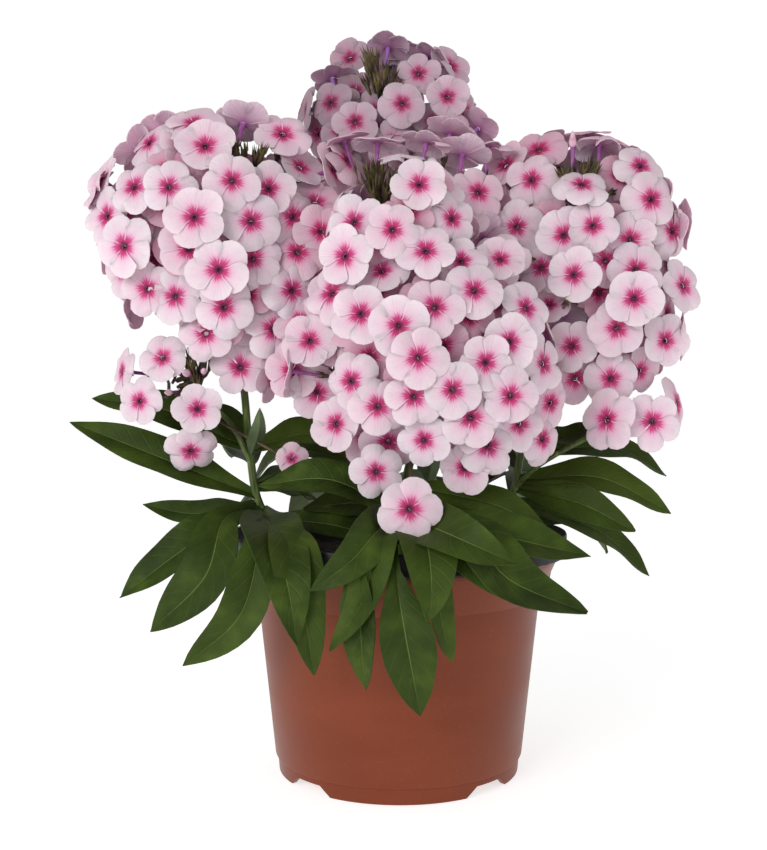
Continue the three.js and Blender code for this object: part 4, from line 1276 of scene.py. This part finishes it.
def modelled_bud():
    """A rolled bud on its tube: a small ball pulled out to a twisted point."""
    clear()
    bpy.ops.mesh.primitive_uv_sphere_add(segments=12, ring_count=8, radius=BUD_R)
    tip = fresh("bud", BUD)
    for vertex in tip.data.vertices:
        x, y, z = vertex.co
        upper = max(0, z / BUD_R)
        slim = 1 - BUD_SLIM * upper ** 1.5
        turn = BUD_TWIST * z
        vertex.co = (slim * (x * math.cos(turn) - y * math.sin(turn)),
                     slim * (x * math.sin(turn) + y * math.cos(turn)),
                     z * (BUD_LONG[0] + BUD_LONG[1] * upper))
    smooth(tip, 60)
    tube = corolla_tube()
    tube.data.transform(Matrix.Translation((0, 0, -0.6)) @ Matrix.Diagonal((*BUD_TUBE, 1)))
    sleeve = calyx(BUD_CALYX_LOW)
    sleeve.data.transform(Matrix.Diagonal((*BUD_CALYX, 1)))
    return merged([tip, tube, sleeve], "rolled_bud")


# ------------------------------------------------------------------ flower heads
PEDICEL_RADII = (0.95, 0.7)              # at its foot and at its calyx
SPINE_RADII = (2.1, 1.2)                 # of the stem's end inside a head
TUFT_SIZE = 1.15                         # of the bare calyces, per a floret's
DEEP_SHADE = (0.02, 0.1, 0.26)                 # painted pink shade of the solids' florets, those between and under
BACK_SHADE = 0.3                               # painted dull shade of those that look away, at the plant's back
HIGH_HEAD_SHADE = (0.62, 0.38)                 # the same painted shade in the highest head: least, and more to its left


def stood(at, aim, spin, size):
    """Matrix that stands a piece modelled along +Z at a place, looking along aim."""
    east, north = across(aim)
    basis = Matrix((east, north, aim)).transposed().to_4x4()
    return (Matrix.Translation(at) @ basis @ Matrix.Rotation(spin, 4, "Z")
            @ Matrix.Scale(size, 4))


def pedicel(foot, aim, head):
    """A floret's own stalk, from its calyx down to the head's core."""
    (x, y, z), (_, _, tall) = head["core"]
    centre = Vector((x, y, max(z - 0.8 * tall, min(z + 0.6 * tall, foot.z - 10))))
    inner = centre + 0.25 * (foot - centre)
    knee = foot - 6 * aim
    line = [inner.lerp(knee, t / 4).lerp(knee.lerp(foot, t / 4), t / 4) for t in range(5)]
    return stalk("pedicel", CALYX, line, PEDICEL_RADII, 4)


def bare(at, head):
    """Where a head is open, so that its calyces show."""
    places = [head["opening"], head["tuft"][0], *head.get("gaps", [])]
    return min((Vector(p) - at).length for p in places) < WIDE_R


def undergrowth(head, sites, draw):
    """Florets half hidden under the outer ones, which close the head between them."""
    under = []
    for lobe in head["lobes"]:
        centre = Vector(lobe[0])
        for at in lattice(lobe, draw):
            at = centre + UNDER * (at - centre)
            if (head["filled"] and scaled(at, lobe).z > LOWEST * UNDER
                    and not bare(at, head)
                    and all((s["at"] - at).length > UNDER_NEAR for s in sites)
                    and all((s["at"] - at).length > UNDER_SPACING for s in under)
                    and all(scaled(at, other).length > UNDER for h in HEADS
                            for other in h["lobes"] if other is not lobe)):
                floret = placed(at, head, False, draw)
                floret.update(r=UNDER_SIZE * floret["r"], depth=2)
                under.append(floret)
    return under


def shade_tint_of(floret, head, draw):
    """Painted shade: deep florets are painted pinker, and those of the highest head and of every
    back duller, for the shade they lie in.
    """
    pink = DEEP_SHADE[floret["depth"]]
    # from the front of the plant to its back, and from its middle to the left
    far = ramp(floret["at"].y, -14, 31)
    left = ramp(floret["at"].x, 20, -40)
    dull = HIGH_HEAD_SHADE[0] + HIGH_HEAD_SHADE[1] * left if head["name"] == "flower_head_back" else BACK_SHADE
    return min(1, max(pink, far * dull) + 0.08 * next(draw))


def gathered(head, draw):
    """All of a head's florets: those of the solids, then those that close it between them."""
    sites = [dict(s, depth=0) for s in florets(head) if s["led"] or not bare(s["at"], head)]
    for floret in sites:
        off = Vector((next(draw) - 0.5, next(draw) - 0.5, next(draw) - 0.5))
        floret["aim"] = (floret["aim"] + 2 * LOOSE * off).normalized()
    for number, at, aim in head["moved"]:
        sites[number].update(at=Vector(at), aim=Vector(aim).normalized())
    for at, aim, size in head["more"]:
        sites.append({"at": Vector(at), "aim": Vector(aim).normalized(), "depth": 1,
                      "spin": TURN * next(draw), "r": PETAL_R * size, "led": True})
    return sites + undergrowth(head, sites, draw)


def flower_head(head, models, bud, sleeve):
    """A head: its florets, buds and bare calyces, each on its stalk, and the stem's end."""
    draw = draws(head["seed"] + 500)
    sites = gathered(head, draw)
    parts = []
    for floret in sites:
        model = models[int(len(models) * next(draw)) % len(models)]
        size = head["full"] * floret["r"] / PETAL_R
        parts.append(copied(model, stood(floret["at"], floret["aim"], floret["spin"], size),
                            shade_tint_of(floret, head, draw)))
        parts.append(pedicel(floret["at"] + size * CALYX_LOW * floret["aim"], floret["aim"],
                             head))
    for at, aim, size in head["buds"]:
        aim = Vector(aim).normalized()
        parts.append(copied(bud, stood(Vector(at), aim, TURN * next(draw), size), 0.1))
        parts.append(pedicel(Vector(at) + BUD_CALYX_LOW * size * aim, aim, head))
    at, spread, rise, number = head["tuft"]
    for _ in range(number):
        turn, share = TURN * next(draw), math.sqrt(next(draw))
        out = Vector((math.cos(turn), math.sin(turn), 0)) * share
        foot = Vector(at) + spread * out + rise * (next(draw) - 0.5) * UP
        # up, somewhat outwards and a little forward
        aim = (0.45 * out + 0.9 * UP - Vector((0, 0.25, 0))).normalized()
        parts.append(copied(sleeve, stood(foot, aim, TURN * next(draw), TUFT_SIZE), 0.5))
        parts.append(pedicel(foot, aim, head))
    if head["filled"]:
        (x, y, z), (_, _, tall) = head["core"]
        spine = [(x, y, z - tall - 4), (x - 1, y, z - 0.3 * tall), (x + 1, y, z + 0.8 * tall)]
        parts.append(stalk("spine", STEM, through(spine), SPINE_RADII, 6))
    return shown(merged(parts, f"{head['name']}_florets"), "petals", head["name"])


models = [modelled_floret(form, 101 + k) for k, form in enumerate(FORMS)]
bud, sleeve = modelled_bud(), calyx(0)
for number, stem in enumerate(STEMS):
    leafy_stem(stem, 211 + number)
for head in HEADS:
    flower_head(head, models, bud, sleeve)
for model in [*models, bud, sleeve]:
    bpy.data.objects.remove(model)
cover_pot()
grow_pot()
soil()


# ------------------------------------------------------------------ studio
def studio():
    """A pale floor under soft light from all round, with a large lamp in front on the left and a
    weak one on the right."""
    clear()
    paint, _ = finish_named("floor_paint", Roughness=0.9, Base_Color=linear("#DADADA"),
                            Emission_Color=linear("#FFFFFF"), Emission_Strength=0.68)
    # a hair under the foot ring, so that the two don't share a plane
    bpy.ops.mesh.primitive_plane_add(size=40, location=(0, 0, -0.0004))
    floor = fresh("floor", paint)
    world = bpy.data.worlds.new("studio")
    bpy.context.scene.world = world
    world.use_nodes = True
    sky = world.node_tree
    way = add(sky, "SeparateXYZ", [("Vector", add(sky, "TexCoord").outputs["Generated"])])
    # soft boxes stand all round; the ceiling over them is dimmer
    glow = add(sky, "ValToRGB", [("Fac", way.outputs["Z"])],
               [(0.0, 1.0), (1.0, 0.3), (0.33, 1.0), (0.55, 0.4)])
    # and so, a little, is the side in front of the plant
    back = add(sky, "Math", [(0, way.outputs["Y"]), (1, 0.5), (2, 0.5)],
               operation="MULTIPLY_ADD")
    front = add(sky, "ValToRGB", [("Fac", back)], [(0.1, 0.78), (0.9, 1.0)])
    glow = add(sky, "Mix", [("Factor", 1.0), ("A", glow), ("B", front)], data_type="RGBA",
               blend_type="MULTIPLY")
    sky.links.new(glow.outputs[2], sky.nodes["Background"].inputs["Color"])
    sky.nodes["Background"].inputs["Strength"].default_value = 1.02
    middle = Vector((0, 0, 0.2))
    for name, place, size, power in (
            ("key", (-0.8, -1.3, 0.75), 0.8, 12), ("fill", (1.3, -1.3, 0.5), 1.2, 2)):
        light = bpy.data.lights.new(name, "AREA")
        light.size, light.energy = size, power
        lamp = bpy.data.objects.new(name, light)
        lamp.location = place
        lamp.rotation_mode = "QUATERNION"
        lamp.rotation_quaternion = (middle - lamp.location).to_track_quat("-Z", "Y")
        bpy.context.scene.collection.objects.link(lamp)


def camera():
    """A 50 mm lens in front of the plant, as high as the lower flowers and tilted a little down."""
    lens = bpy.data.cameras.new("camera")
    lens.lens, lens.sensor_width, lens.sensor_fit = 50, 36, "AUTO"
    lens.clip_start, lens.clip_end = 0.01, 50
    eye = bpy.data.objects.new("camera", lens)
    pitch, yaw = math.radians(2.385), math.radians(0.734)
    ahead = Vector((-math.sin(yaw) * math.cos(pitch), math.cos(yaw) * math.cos(pitch),
                    -math.sin(pitch)))
    # in millimetres from the foot of the pots' axis
    eye.location = TO_FRAME @ Vector((0, -635.56, 210.55))
    eye.rotation_mode = "QUATERNION"
    eye.rotation_quaternion = ahead.to_track_quat("-Z", "Y")
    bpy.context.scene.collection.objects.link(eye)
    bpy.context.scene.camera = eye


studio()
camera()
bpy.context.scene.view_settings.view_transform = "Standard"
